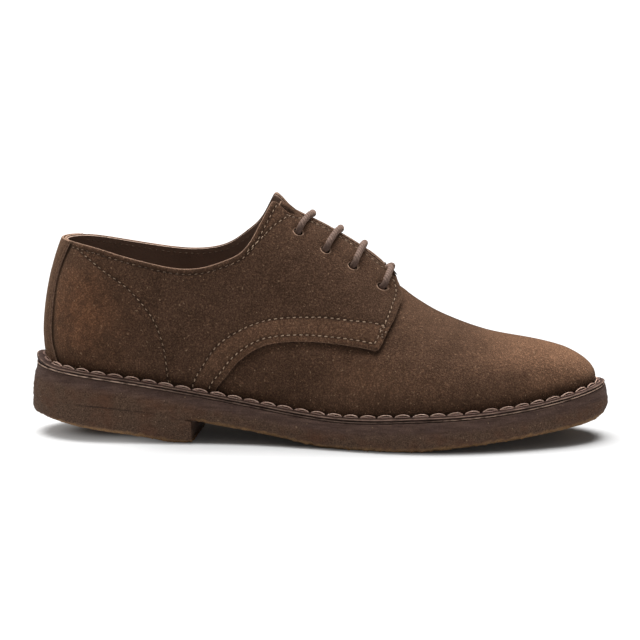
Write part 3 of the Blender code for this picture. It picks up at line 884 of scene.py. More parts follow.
# Broad patches of painted light (positive) and painted shade (negative): middle on the chart and half
# sizes.
QUARTER_PAINTED_LIGHT_AND_SHADE = {
    "x": (95, 176, 21, 43, 92, 118, 124),
    "up": (56, 54, 48, 7, 29, 48, 98),
    "wide": (28, 9, 11, 12, 8, 9, 12),
    "tall": (10, 17, 9, 6, 8, 8, 9),
    "light": (-0.15, -0.18, 0.13, 0.12, 0.09, 0.1, 0.12),
}
VAMP_PAINTED_LIGHT = {
    "x": (172, 202, 266),
    "up": (20, 15, 15),
    "wide": (14, 16, 12),
    "tall": (11, 9, 7),
    "light": (0.42, 0.21, 0.24),
}


def painted_light_and_shade(table, side, flat):
    """Painted light at chart points, negative where it is painted shade."""
    total = np.zeros(len(flat))
    for x, up, wide, tall, light in zip(*table.values()):
        total += light * bump(flat[:, 0], CHART.at_x(x, side), wide) * bump(flat[:, 1], up, tall)
    return total


def folds(table, side, flat):
    """Depth of the folds at chart points."""
    total = np.zeros(len(flat))
    for x, up, end_x, end_up, width, depth in zip(*table.values()):
        start = np.array((CHART.at_x(x, side), up))
        run = np.array((CHART.at_x(end_x, side), end_up)) - start
        length = np.linalg.norm(run)
        share = ((flat - start) @ run / length ** 2)
        away = away_from(share.clip(0, 1)[:, None] * run, flat - start)
        total -= depth * bump(away, 0, width)
    return total


def eyelet_places(side):
    """Chart places of the four eyelets."""
    along = CHART.at_x(EYELETS["x"], side)
    return np.column_stack((along, CHART.length(side * along) - EYELETS["down"]))


def broad_relief(side, flat):
    """How far the quarter stands off the last: facing, flared corner, counter and folds."""
    along, up = flat.T
    place = CHART.point(side * along, up)
    down = from_ridge(side, flat)
    stand = spline(*FACING_STAND.values())(place[:, 0]).clip(0)
    lift = stand * (1 - fade(down, 7, 26)) * fade(place[:, 0], 112, 120)
    collar, _ = top_line(side)
    lift += CORNER_FLARE[side] * bump(away_from(collar[-1], flat), 0, 8.0)
    counter = np.array((CHART.at_x(COUNTER_ROW["x"], side), COUNTER_ROW["up"]))
    behind = np.interp(up, counter[1], counter[0]) - along
    lift += 0.35 * fade(behind, -1.0, 3.0) * (1 - fade(up, 52, 62))
    lift += folds(QUARTER_FOLDS, side, flat)
    lift += 0.25 * lattice_noise(place, 26, 3) + 0.1 * lattice_noise(place, 9, 4)
    return lift


def strip_edge(side):
    """The back strip's cut edge on the chart."""
    return resampled(chart_line(BACK_STRIP, side), 300)


def quarter_form(side, flat, rows):
    """The quarter's relief with its seams, and how deep each point lies in a groove, by a row or the back
    strip's edge; the suede darkens that depth as painted shade.
    """
    lift = broad_relief(side, flat)
    lift += 0.4 * (1 - fade(from_cut(side, flat), 9.5, 14))
    lift += 0.18 * bump(nearest(flat, top_line(side)[0]), 1.3, 1.2)
    groove = bump(nearest(flat, strip_edge(side)), 0.8, 1.4)
    for row in rows:
        away = nearest(flat, resampled(row, int(walked(row)[-1] / 0.3)))
        groove = np.maximum(groove, bump(away, 0, 0.7))
    lift -= 0.3 * groove
    for hole in eyelet_places(side):
        lift -= 0.45 * bump(away_from(hole, flat), 0, 3.6)
    return lift, groove


def build_quarter(side, finish, lining_finish):
    """One quarter with its eyelets and the lining behind it; returns its rows of stitches."""
    rows, zigzag = seam_rows(side)
    holes = [circle(place, EYELET_RADIUS) for place in eyelet_places(side)]
    flat, distance, faces, loops = cut_sheet(quarter_outline(side, -SEAM_OVERLAP), holes)
    lift, groove = quarter_form(side, flat, [*rows, zigzag])
    lift -= 0.4 * (1 - fade(distance, 0, 0.5)) + 0.12 * (1 - fade(distance, 0.3, 1.5))
    cut = nearest(flat, cut_edge(side))
    top_edge = fade(cut, 0.5, 2.5)
    under = on_last(side, flat, broad_relief(side, flat) - SUEDE + 0.5 * (1 - top_edge))
    raw = (1 - fade(distance, 0.05, 0.35)) * (0.18 + 0.82 * top_edge)
    # Below each eyelet a pale crescent in the raw colour: a painted highlight on the hole's lower rim.
    for place in eyelet_places(side):
        ring = away_from(place, flat) - EYELET_RADIUS
        raw = np.maximum(raw, (1 - fade(ring, 0.5, 1.0)) * fade(place[1] - flat[:, 1], -0.2, 1.4))
    # painted light and shade patches: the shade joins the grooves' painted shade, the light joins the band
    painted_tone = painted_light_and_shade(QUARTER_PAINTED_LIGHT_AND_SHADE, side, flat)
    row = chart_line(SECOND_ROW, side)
    beneath = (flat[:, 1] < np.interp(flat[:, 0], *row.T)) & (flat[:, 0] < row[-1, 0] + 6)
    beneath = beneath * (0.3 + 0.7 * fade(flat[:, 1], 6, 24))
    # a lighter band along the lower edge, between the edge row and the second row
    band = 0.4 * (1 - fade(cut, 10.5, 13.5)) * (1 - fade(nearest(flat, row), 11, 14)) * beneath
    heel = np.array((CHART.at_x(20, side), 30.0))
    sheet = thickened(on_last(side, flat, lift), under, faces, loops, raw,
                      groove=np.maximum(groove, -painted_tone), band=band + painted_tone.clip(0),
                      # painted shade: darker towards the welt
                      low=1 - fade(flat[:, 1], 0.5, 7),
                      # painted light on the heel counter, lighter and redder
                      warm=np.exp(-(((flat - heel) / 23) ** 2).sum(axis=1)))
    add_mesh(f"quarter_{SIDES[side]}", finish, "suede", *sheet, flip=side > 0,
             replaces=("upper",) if side < 0 else ())
    build_lining(side, lining_finish)
    return [*rows, zigzag]


def build_lining(side, finish):
    """The lining behind a quarter, with its own cut edge just below the suede's."""
    collar, facing = top_line(side)
    front = CHART.at_x(VAMP_BACK, side)
    facing = facing[facing[:, 0] < front]
    lower = offset_line(cut_edge(side), 4.0)
    lower = lower[(lower[:, 1] > 0.6) & (lower[:, 0] < front) & (lower[:, 1] < 60)]
    bottom = [(-SEAM_OVERLAP, 0.6), (lower[0, 0] - 0.5, 0.6)]
    back = [(-SEAM_OVERLAP, collar[0, 1])]
    loop = np.concatenate((bottom, lower, facing[::-1], collar[::-1], back))
    outline = rounded_loop(loop, CORNER_RADIUS)
    outline += 0.35 * leftwards(outline, closed=True)
    outline[:, 0] = outline[:, 0].clip(-SEAM_OVERLAP)
    holes = [circle(place, EYELET_RADIUS + 0.1) for place in eyelet_places(side)[:3]]
    flat, distance, faces, loops = cut_sheet(outline, holes, spacing=1.3)
    broad = broad_relief(side, flat) - SUEDE - LAYER_GAP
    sheet = thickened(on_last(side, flat, broad), on_last(side, flat, broad - LINING),
                      faces, loops, 1 - fade(distance, 0.05, 0.35), 2)
    add_mesh(f"lining_{SIDES[side]}", finish, "lining", *sheet, flip=side > 0)


# Each row of stitches: how pale its thread looks, its width and how far it stands up.
STITCHES = {
    "row": ("edge", "collar", "facing", "second", "counter", "corner", "tack"),
    "pale": (0.9, 0.28, 0.7, 0.85, 0.7, 0.8, 0.6),
    "width": (0.56, 0.45, 0.5, 0.54, 0.45, 0.54, 0.6),
    "height": (0.42, 0.3, 0.36, 0.4, 0.3, 0.4, 0.42),
}


def build_stitching(rows_by_side, thread):
    """The rows of stitches on both quarters, and those that show on the lining."""
    outer, inner, tones = [], [], []
    for side, rows in rows_by_side.items():
        for name, pale, width, height, row in zip(*STITCHES.values(), rows):
            lift, _ = quarter_form(side, row, rows)
            pitch = TACK_PITCH if name == "tack" else STITCH_PITCH
            flat, centre, along, square = row_frames(side, row, lift + 0.04, pitch)
            turned = slanted(along, square, RNG.normal(0.13, 0.05, len(centre)))
            outer.append(beads(centre, turned, square, pitch * STITCH_SHARE, width, height))
            thread_tone = pale + RNG.normal(0, 0.13, len(centre))
            if name == "collar":
                thread_tone += 0.5 * fade(centre[:, 0], 92, 108)
            tones.append(np.repeat(thread_tone.clip(0, 1), len(outer[-1][0]) // len(centre)))
            if name in ("collar", "facing"):
                behind = on_last(side, flat, broad_relief(side, flat) - SUEDE - LINING - 0.16)
                inner.append(beads(behind, along, -square, pitch * STITCH_SHARE, 0.5, 0.36))
    add_mesh("quarter_stitching", thread, "thread", *joined(outer), {"pale": np.concatenate(tones)})
    points, faces = joined(inner)
    add_mesh("lining_stitching", thread, "thread", points, faces, {"pale": [0.45] * len(points)})


def build_back_strip(finish):
    """The strip over the heel seam, up to just under the collar's edge."""
    up = np.linspace(PANEL_FOOT, BACK_STRIP["up"][-1], 120)
    half = spline(BACK_STRIP["up"], CHART.at_x(BACK_STRIP["x"], 1))(up)
    top = {side: collar_line(side).T for side in (-1, 1)}
    right = np.column_stack((half, up))[up < np.interp(half, *top[1])]
    left = np.column_stack((-half, up))[up < np.interp(half, *top[-1])][::-1]
    across = np.linspace(right[-1, 0], left[0, 0], 60)
    crest = np.where(across > 0, *(np.interp(np.abs(across), *top[side]) for side in (1, -1))) - 0.3
    outline = rounded_loop(np.concatenate((right, np.column_stack((across, crest)), left)), 1.0)
    flat, distance, faces, loops = cut_sheet(outline)
    place = CHART.point(*flat.T)
    lift = 1.4 + 0.2 * lattice_noise(place, 22, 5) + 0.05 * lattice_noise(place, 5, 6)
    lift -= 0.45 * (1 - fade(distance, 0, 0.6))
    edge = nearest(flat, np.concatenate((right, left)))
    lift -= 0.25 * bump(edge, 2.4, 1.0)
    raw = (1 - fade(distance, 0.05, 0.4)) * (0.3 + 0.7 * fade(edge, 1, 3))
    sheet = thickened(on_last(1, flat, lift), on_last(1, flat, 0.3), faces, loops, raw)
    add_mesh("back_strip", finish, "suede", *sheet, flip=True)


# --- Vamp, tongue and laces ---

VAMP_START = 85.0
VAMP_MARGIN = 13.0      # how far the vamp runs on under the quarters


def vamp_grid(step, rows, depth):
    """A grid over the front of the last, depth below the vamp; each row runs from welt to welt.

    Each point has its place and then what vamp_form says of it after its lift.
    """
    start = CHART.at_x(VAMP_START, -1)
    end = CHART.along[-1][-1]
    angles = np.interp(np.linspace(start, end, int((end - start) / step) + 1),
                       CHART.along[-1], CHART.angles[-1])
    halves = []
    for side in (-1, 1):
        along = np.interp(angles, CHART.angles[side], CHART.along[side])[:, None]
        up = -2.0 + np.linspace(0, 1, rows + 1) * (CHART.length(side * along) + 2.0)
        flat = np.column_stack((np.broadcast_to(along, up.shape).ravel(), up.ravel()))
        lift, *marks = vamp_form(side, flat)
        place = on_last(side, flat, lift - depth)
        halves.append(np.column_stack((place, *marks)).reshape(*up.shape, -1))
    lateral, medial = halves
    lateral[:, -1, :3] = (lateral[:, -1, :3] + medial[:, -1, :3]) / 2
    return np.concatenate((lateral, medial[:, -2::-1]), axis=1)


def vamp_form(side, flat):
    """The vamp's relief, which dips under the quarter's edge; what is hidden; and three marks: painted
    shadow under the quarter's edge, painted shade towards the welt and painted light.
    """
    base = on_last(side, flat)
    x, up = base[:, 0], flat[:, 1]
    away = from_cut(side, flat)
    under = inside(flat, quarter_outline(side, CHART.at_x(2.2, side)))
    throat = fade(x, 150, 178) * (1 - fade(from_ridge(side, flat), 14, 34))
    ahead = np.where(under, 0, away)
    sink = 1.75 * (1 - fade(ahead, 0.5, 7.0)) + 1.1 * throat * (1 - fade(ahead, 2, 16))
    lift = -sink + folds(VAMP_FOLDS, side, flat)
    lift += 0.22 * lattice_noise(base, 24, 11) + 0.08 * lattice_noise(base, 8, 12)
    behind = (x < VAMP_BACK) | ((x < VAMP_BACK + 4) & (up > 60) & ~under)
    behind &= up >= np.interp(flat[:, 0], *chart_line(QUARTER_LOWER, side).T) + VAMP_MARGIN
    hidden = (under & (away > VAMP_MARGIN)) | behind
    shadow = (1 - fade(away, 0.0, 2.2)) * ~under
    # painted shade: darker towards the welt, less so about the waist
    low = (1 - fade(up, 0.5, 9)) * (1 - 0.75 * bump(x, 165, 48))
    # painted light: lighter where the vamp faces up, towards the toe and in the painted patches
    facing_up = CHART.normal(side * flat[:, 0], up)[:, 2]
    lit = 0.85 * fade(facing_up, 0.42, 0.9) * (0.08 + 1.07 * fade(x, 213, 271))
    lit = np.maximum(lit, 0.65 * fade(x, 225, 290)) + painted_light_and_shade(VAMP_PAINTED_LIGHT, side, flat)
    return lift, hidden, shadow, low, lit * (1 - low)


def build_vamp(finish, lining_finish):
    """The vamp, and a thin skin inside it as its lining."""
    for name, material, slot, step, rows, depth in (
            ("vamp", finish, "suede", 0.85, 92, 0.0),
            ("vamp_lining", lining_finish, "lining", 2.4, 36, 1.5)):
        grid = vamp_grid(step, rows, depth)
        points = grid.reshape(-1, grid.shape[2])
        faces = np.array(grid_faces(*grid.shape[:2]))
        faces = faces[(points[faces, 3] == 0).any(axis=1)]
        used, faces = np.unique(faces, return_inverse=True)
        points = points[used]
        add_mesh(name, material, slot, points[:, :3], faces.reshape(-1, 4),
                 zip(("groove", "low", "band"), points[:, 4:].T), flip=depth == 0)


TONGUE_THICKNESS = 1.7
TONGUE_TOP = 124.2
TONGUE_FRONT = 204.0
TONGUE_WIDTH = {
    "x": (124.2, 126, 129, 134, 150, 175, 204),
    "half": (13, 16.6, 18.6, 19.6, 20.5, 21.5, 23),
}


def build_tongue(finish):
    """The tongue: a sheet across the ridge, its top edge free and a little raised."""
    columns = np.concatenate((TONGUE_TOP + np.array(EDGE_RINGS),
                              np.linspace(126.6, TONGUE_FRONT, 96)))
    width = level_curve(*TONGUE_WIDTH.values())(columns)[:, None] * np.linspace(-1, 1, 61)
    points, squares = np.empty((*width.shape, 3)), np.empty((*width.shape, 3))
    for side in (-1, 1):
        along = np.broadcast_to(CHART.at_x(columns, side)[:, None], width.shape)
        part = width * side >= 0
        up = CHART.length(side * along) - np.abs(width)
        points[part] = CHART.point(side * along, up)[part]
        squares[part] = CHART.normal(side * along, up)[part]
    middle = width == 0
    squares[middle] = (np.roll(squares, 1, 1) + np.roll(squares, -1, 1))[middle]
    squares = unit(squares)
    x = points[..., 0]
    lift = -2.9 - 2.4 * fade(np.abs(width), 11, 17)
    ahead = 1 - fade(x, 128, 141)
    lift += ahead * (3.3 * (1 - fade(np.abs(width), 5, 17)) - 1.6 * bump(width, -8.0, 2.2))
    lift -= 0.9 * fade(x, 172, 186)
    lift += 0.2 * lattice_noise(points, 12, 15)
    rim = np.broadcast_to((columns - TONGUE_TOP)[:, None], width.shape)
    lift -= 0.45 * (1 - fade(rim, 0, 0.5))
    top, under = ((points + squares * (lift - depth)[..., None]).reshape(-1, 3)
                  for depth in (0.0, TONGUE_THICKNESS))
    name = np.arange(width.size).reshape(width.shape)
    loop = np.concatenate((name[0], name[1:, -1], name[-1, -2::-1], name[-2:0:-1, 0]))
    sheet = thickened(top, under, grid_faces(*width.shape), [loop],
                      (1 - fade(rim, 0.05, 0.4)).ravel(),
                      # painted shade in the slit under the near facing, beside the tongue's lateral top
                      groove=(0.9 * ahead * fade(-width, 3.5, 6.0)).ravel())
    add_mesh("tongue_suede", finish, "suede", *sheet, flip=True, replaces=("tongue",))


def chart_place(side, x, down, lift):
    """A point near the facing, by the x of its station and its distance down from the ridge."""
    along = CHART.at_x(x, side)
    flat = np.array([(along, CHART.length(side * along) - down)])
    return on_last(side, flat, broad_relief(side, flat) + lift)[0]


def bar_path(number):
    """A lace bar's way: out of the lateral eyelet, over the facings and into the medial one."""
    radius = LACE_DIAMETER / 2
    ridge_x = LACE_STATIONS[number]
    eyelet_x, down = EYELETS["x"][number], EYELETS["down"][number]
    half = {}
    for side in (-1, 1):
        points = [chart_place(side, eyelet_x, down, lift) for lift in (-4.4, -2.6, -0.9)]
        points.append(chart_place(side, eyelet_x + 0.3, down - 0.75, 0.7))
        for share in (0.13, 0.3, 0.5, 0.66):
            x = eyelet_x + (ridge_x - eyelet_x) * share
            points.append(chart_place(side, x, down * (1 - share), radius + 0.12))
        half[side] = points
    edge = (half[-1][-1] + half[1][-1]) / 2
    crest = np.array((ridge_x, edge[1], edge[2] - 0.1))
    return half[-1] + [crest] + half[1][::-1]


def hidden_run(side, first, second, aside):
    """The lace's way inside, from one eyelet to another, between the lining and the tongue."""
    points = []
    for share in (0.12, 0.35, 0.65, 0.88):
        x = EYELETS["x"][first] + (EYELETS["x"][second] - EYELETS["x"][first]) * share
        down = np.interp(x, EYELETS["x"], EYELETS["down"])
        points.append(chart_place(side, x, down + aside * min(1, 4 * share * (1 - share)), -4.0))
    return points


def build_lace(finish):
    """One cord: straight bars outside, hidden runs inside, both ends at the top eyelets."""
    bars = [bar_path(k) for k in range(4)]
    way = bars[0] + hidden_run(1, 0, 2, -1.6) + bars[2][::-1] + hidden_run(-1, 2, 3, 0.0) + bars[3]
    way += hidden_run(1, 3, 1, 1.8) + bars[1][::-1] + hidden_run(-1, 1, 0, 0.0)[:3]
    path = smooth_path(way, 0.4)
    sides = 20
    twist = walked(path)[:, None] * 2 * math.pi / LACE_LAY
    strand = LACE_STRANDS * (around(sides)[None] + twist)
    ply = 0.06 * np.cos(strand) + 0.02 * lattice_noise(path, 1.3, 51)[:, None]
    depth = np.min([away_from(chart_place(side, x, down, 0.0), path)
                    for x, down in zip(*EYELETS.values()) for side in (-1, 1)], axis=0)
    # painted light and shade, kept as the ply mark: lighter on each strand's crest, darker between strands
    # and towards the eyelets
    lit = (0.45 + 0.55 * np.cos(strand)) * fade(depth, 0.5, 4.5)[:, None]
    add_mesh("lace", finish, "lace", *tube(path, LACE_DIAMETER / 2 * (0.97 + ply), sides),
             {"ply": lit.ravel()}, replaces=tuple(f"lace_bar_{k}" for k in range(1, 5)))


# --- Sole ---

def loop_stations(last_x, step=0.8):
    """Angles of the stations from the heel to last_x, closer together round the heel and toe."""
    end = float(angle_at(last_x))
    along = CHART.along[-1]
    length = np.interp(end, CHART.angles[-1], along)
    return np.interp(np.linspace(0, length, int(length / step) + 1), along, CHART.angles[-1])


def slab(profile, reach, bottom, top, last_x=LENGTH, step=0.8, across=44, roughen=None):
    """A closed layer of the sole; profile holds rows from profile_rows, from the tread up."""
    angles = loop_stations(last_x, step)
    pointed = last_x >= LENGTH
    x = feather_plan(angles, -1)[:, 0]
    share = np.linspace(0, 1, across + 1)[1:-1, None]
    free = ((x - HEEL_BREAST) / SEAT_FADE + 0.5).clip(0, 1)
    rings = []
    for outset, seat, level in profile:
        out = reach(x) + seat + free * (outset - seat)
        lateral, medial = (outline_plan(angles, side, out) for side in (-1, 1))
        if pointed:
            plan = np.concatenate((lateral, medial[-2:0:-1]))
        else:
            lateral[-1, 0] = medial[-1, 0] = last_x
            breast = lateral[-1] + (medial[-1] - lateral[-1]) * share
            plan = np.concatenate((lateral, breast, medial[:0:-1]))
        z = bottom(plan[:, 0]) + level * (top(plan[:, 0]) - bottom(plan[:, 0]))
        rings.append(np.column_stack((plan, z)))
    rings = np.array(rings)
    loop, count = rings.shape[1], len(angles)
    levels = np.repeat([row[2] for row in profile], loop).reshape(rings.shape[:2])
    if roughen is not None:
        outward = rings[len(profile) // 2] - rings[len(profile) // 2].mean(axis=0)
        square = np.column_stack((leftwards(rings[3, :, :2], closed=True), np.zeros(loop)))
        square *= np.sign((square * outward).sum(axis=1))[:, None]
        rings = roughen(rings, levels, square)
    points, marks = [rings.reshape(-1, 3)], [levels.ravel()]
    faces = grid_faces(len(rings), loop, closed=True)
    total = levels.size
    for ring, height in ((0, bottom), (len(rings) - 1, top)):
        names = ring * loop + np.arange(loop)
        rows = [np.full(across + 1, names[0])]
        for i in range(1, count - 1):
            a, b = rings[ring, i], rings[ring, loop - i]
            inner = a + (b - a) * share
            inner[:, 2] = height(inner[:, 0])
            if ring == 0:
                inner[:, 2] += 0.22 * np.abs(lattice_noise(inner, 3.2, 21))
            points.append(inner)
            marks.append(np.full(across - 1, float(ring > 0)))
            rows.append(np.array([names[i], *range(total, total + across - 1), names[-i]]))
            total += across - 1
        rows.append(np.full(across + 1, names[count - 1]) if pointed
                    else names[count - 1:count + across])
        for first, second in zip(rows, rows[1:]):
            for quad in zip(first[:-1], first[1:], second[1:], second[:-1]):
                face = tuple(dict.fromkeys(quad))
                if len(face) > 2:
                    faces.append(face[::-1] if ring == 0 else face)
    return np.concatenate(points), faces, np.concatenate(marks)


def crepe_top(x):
    """Height of the crepe's top."""
    return FEATHER_Z(x) - WELT_THICKNESS - MIDSOLE_THICKNESS - 2 * SEAT_GAP


def midsole_top(x):
    """Height of the midsole's top."""
    return FEATHER_Z(x) - WELT_THICKNESS - SEAT_GAP


def crepe_roughness(rings, levels, square):
    """Cut crepe: a smooth upper band, striations, pits and a ragged lower edge.

    The heel's wedge goes on below the sole: its levels end at a half, in the rough part.
    """
    flatwise = rings * np.array((1.0, 1.0, 7.0))
    lines = 0.13 * lattice_noise(flatwise, 7.5, 31)
    rough = 0.3 * lattice_noise(rings, 2.4, 32) + 0.22 * lattice_noise(rings, 1.1, 33)
    low = 1 - fade(levels, 0.5, 0.66)
    push = lines + rough * (0.18 + 0.82 * low) + 0.35 * lattice_noise(rings, 17, 34)
    push -= 0.12 * bump(levels, 0.66, 0.03)
    moved = rings + square[None] * push[..., None]
    ragged = 1.5 * np.abs(lattice_noise(rings, 3.2, 35)) + 0.8 * np.abs(lattice_noise(rings, 1.3, 36))
    ragged *= fade(rings[..., 0], HEEL_BREAST, HEEL_BREAST + 5) + (levels[-1, 0] < 1)
    moved[..., 2] += ragged * (1 - fade(levels, 0.02, 0.3 * levels[-1, 0]))
    return moved


def profile_rows(count, outset, level, seat=None):
    """A smooth edge profile from a few points: outset, outset over the heel, and level."""
    fine = np.linspace(0, 1, count)
    free = level_curve(level, outset)(fine)
    return list(zip(free, free if seat is None else level_curve(level, seat)(fine), fine))


def add_layer(name, finish, slot, node, made):
    """Add a slab; its edge line shows pale at the heel and towards the toe, less at the waist."""
    points, faces, levels = made
    x = points[:, 0]
    pale = 1 - 0.75 * fade(x, 50, 75) * (1 - fade(x, 195, 225))
    marks = {"level": levels, "line": fade(levels, 0.15, 0.35) * (1 - fade(levels, 0.9, 1)) * pale,
             "cut": np.ones(len(x))}
    if name == "crepe_sole":
        marks["cut"] = fade(x, HEEL_BREAST, HEEL_BREAST + 4)
        marks["joint"] = (1 - fade(levels, 0.01, 0.06)) * fade(x, 16, 24) * (1 - fade(x, 58, 66))
    add_mesh(name, finish, slot, points, faces, marks, replaces=(node,))


# Edge profiles of the layers, from the bottom up; seat is the outset where the heel carries it.
CREPE_EDGE = {
    "outset": (-3.2, -1.1, -0.1, 0.6, 0.8, 0.5, 0, -0.6),
    "level": (0, 0.08, 0.17, 0.32, 0.5, 0.68, 0.84, 1),
    "seat": (1, 0.9, 0.8, 0.5, 0.3, -0.1, -1.1, -1.5),
}
HEEL_EDGE = {
    "outset": (-2.6, -0.5, 0.6, 1.1, 1),
    "level": (0, 0.1, 0.22, 0.5, 1),
}
MIDSOLE_EDGE = {
    "outset": (-0.3, 0, 0, -0.4),
    "level": (0, 0.15, 0.8, 1),
}
INSOLE_EDGE = {
    "outset": (-0.5, 0, 0, -0.5),
    "level": (0, 0.25, 0.75, 1),
}


def build_sole(crepe, heel_crepe, midsole, board):
    """The crepe, its heel wedge, the midsole and the insole."""
    add_layer("crepe_sole", crepe, "crepe", "outsole",
              slab(profile_rows(30, *CREPE_EDGE.values()), CREPE_OUT, TREAD_Z, crepe_top,
                   roughen=crepe_roughness))
    add_layer("crepe_heel", heel_crepe, "crepe", "heel_lift",
              slab(profile_rows(22, *HEEL_EDGE.values()), CREPE_OUT, HEEL_TREAD_Z,
                   lambda x: TREAD_Z(x) - 0.1, last_x=HEEL_BREAST,
                   roughen=lambda rings, levels, square: crepe_roughness(rings, levels / 2, square)))
    add_layer("midsole_layer", midsole, "midsole", "midsole",
              slab(profile_rows(9, *MIDSOLE_EDGE.values()),
                   lambda x: WELT_REACH * welt_spread(x) - 0.1, lambda x: crepe_top(x) + SEAT_GAP,
                   midsole_top, step=1.0, across=6))
    add_layer("insole_sock", board, "insole", "insole",
              slab(profile_rows(6, *INSOLE_EDGE.values()), lambda x: -2.8 + 0 * x,
                   lambda x: midsole_top(x) + SEAT_GAP, lambda x: FEATHER_Z(x) + 2.4,
                   step=1.6, across=30))


# The line column places the pale line of the welt's rim: a painted highlight along its top.
WELT_SECTION = {
    "reach": (-2.4, -2.4, 0, 1.2, 2.6, 3.8, 4.6, 5.1, 5.4, 5.5, 5.3, 4.6, 1),
    "height": (0, 1.2, 1.2, 1.05, 0.95, 0.9, 0.88, 0.8, 0.62, 0.38, 0.12, 0, 0),
    "rise": (0, 0, 0, 0.7, 1, 1, 1, 1, 0.97, 0.85, 0.4, 0, 0),
    "line": (0, 0, 0, 0, 0, 0, 0.1, 1, 0.2, 0, 0, 0, 0),
}
# The two strands of a loop: rise, reach beyond the row, radius, shift along it and paleness; the lower
# strand's low paleness is painted shade.
LOOP_STRANDS = {
    "rise": (1.2, 0.3),
    "out": (0, 1.5),
    "radius": (0.33, 0.4),
    "shift": (-0.07, 0.14),
    "pale": (1, 0.2),
}


def build_welt(finish, thread):
    """The welt strip with its rounded rim, and the thick double thread that loops along it."""
    angles = loop_stations(LENGTH)
    foot = feather_plan(angles, 1)[:, 0]
    turned_up = welt_rise(np.concatenate((foot, foot[-2:0:-1])))
    rings = []
    for reach, height, share, _ in zip(*WELT_SECTION.values()):
        out = reach * (welt_spread(foot) if reach > 0 else 1)
        plan = loop_plan(angles, out)
        z = FEATHER_Z(plan[:, 0]) - WELT_THICKNESS + height + share * turned_up
        rings.append(np.column_stack((plan, z)))
    rings = np.array(rings)
    wave = 0.12 * lattice_noise(rings, 9, 41) + 0.06 * lattice_noise(rings, 2.5, 42)
    rings[3:12, :, 2] += wave[3:12] * 0.8
    loop = rings.shape[1]
    last = (len(rings) - 1) * loop
    faces = grid_faces(len(rings), loop, closed=True)
    faces += [(last + i, last + (i + 1) % loop, (i + 1) % loop, i) for i in range(loop)]
    add_mesh("welt_strip", finish, "welt", rings.reshape(-1, 3), faces,
             {"line": np.repeat(WELT_SECTION["line"], loop)}, flip=True, replaces=("welt",))
    strands, tones = [], []
    fine = np.linspace(0, math.pi, 3000)
    place = np.linspace(-0.5, 0.5, 17)
    ease = np.sqrt(1 - (2 * place) ** 2)
    for side in (-1, 1):
        line = outline_plan(fine, side, LOOP_REACH)
        length = walked(line)
        count = round(length[-1] / WELT_PITCH)
        for k in range(count):
            width = LOOP_WIDTH + RNG.normal(0, 0.2)
            at = (k + 0.5 + RNG.normal(0, 0.02)) * length[-1] / count + place * width
            plan, angle = read_off(at, length, line), np.interp(at, length, fine)
            ahead = outline_plan(angle, side, LOOP_REACH + 1) - plan
            foot = feather_plan(angle, side)[:, 0]
            z = FEATHER_Z(plan[:, 0]) - 0.15 + 0.95 * welt_rise(foot)
            stout = 1 + 0.6 * bump(foot[8], 0, 12)
            for rise, out, thick, shift, pale in zip(*LOOP_STRANDS.values()):
                arch = (1 - (2 * place + 4 * shift * (0.25 - place ** 2)) ** 2).clip(0)
                tall = rise * (1 + RNG.normal(0, 0.07))
                path = np.column_stack((plan + ahead * (out * ease)[:, None],
                                        z + tall * arch ** 0.75))
                strands.append(tube(path, thick * stout * (0.55 + 0.45 * ease)[:, None], 8))
                tones.append(np.full(len(strands[-1][0]), pale + RNG.normal(0, 0.06)))
    add_mesh("welt_thread", thread, "thread", *joined(strands), {"pale": np.concatenate(tones)})


# --- Materials ---

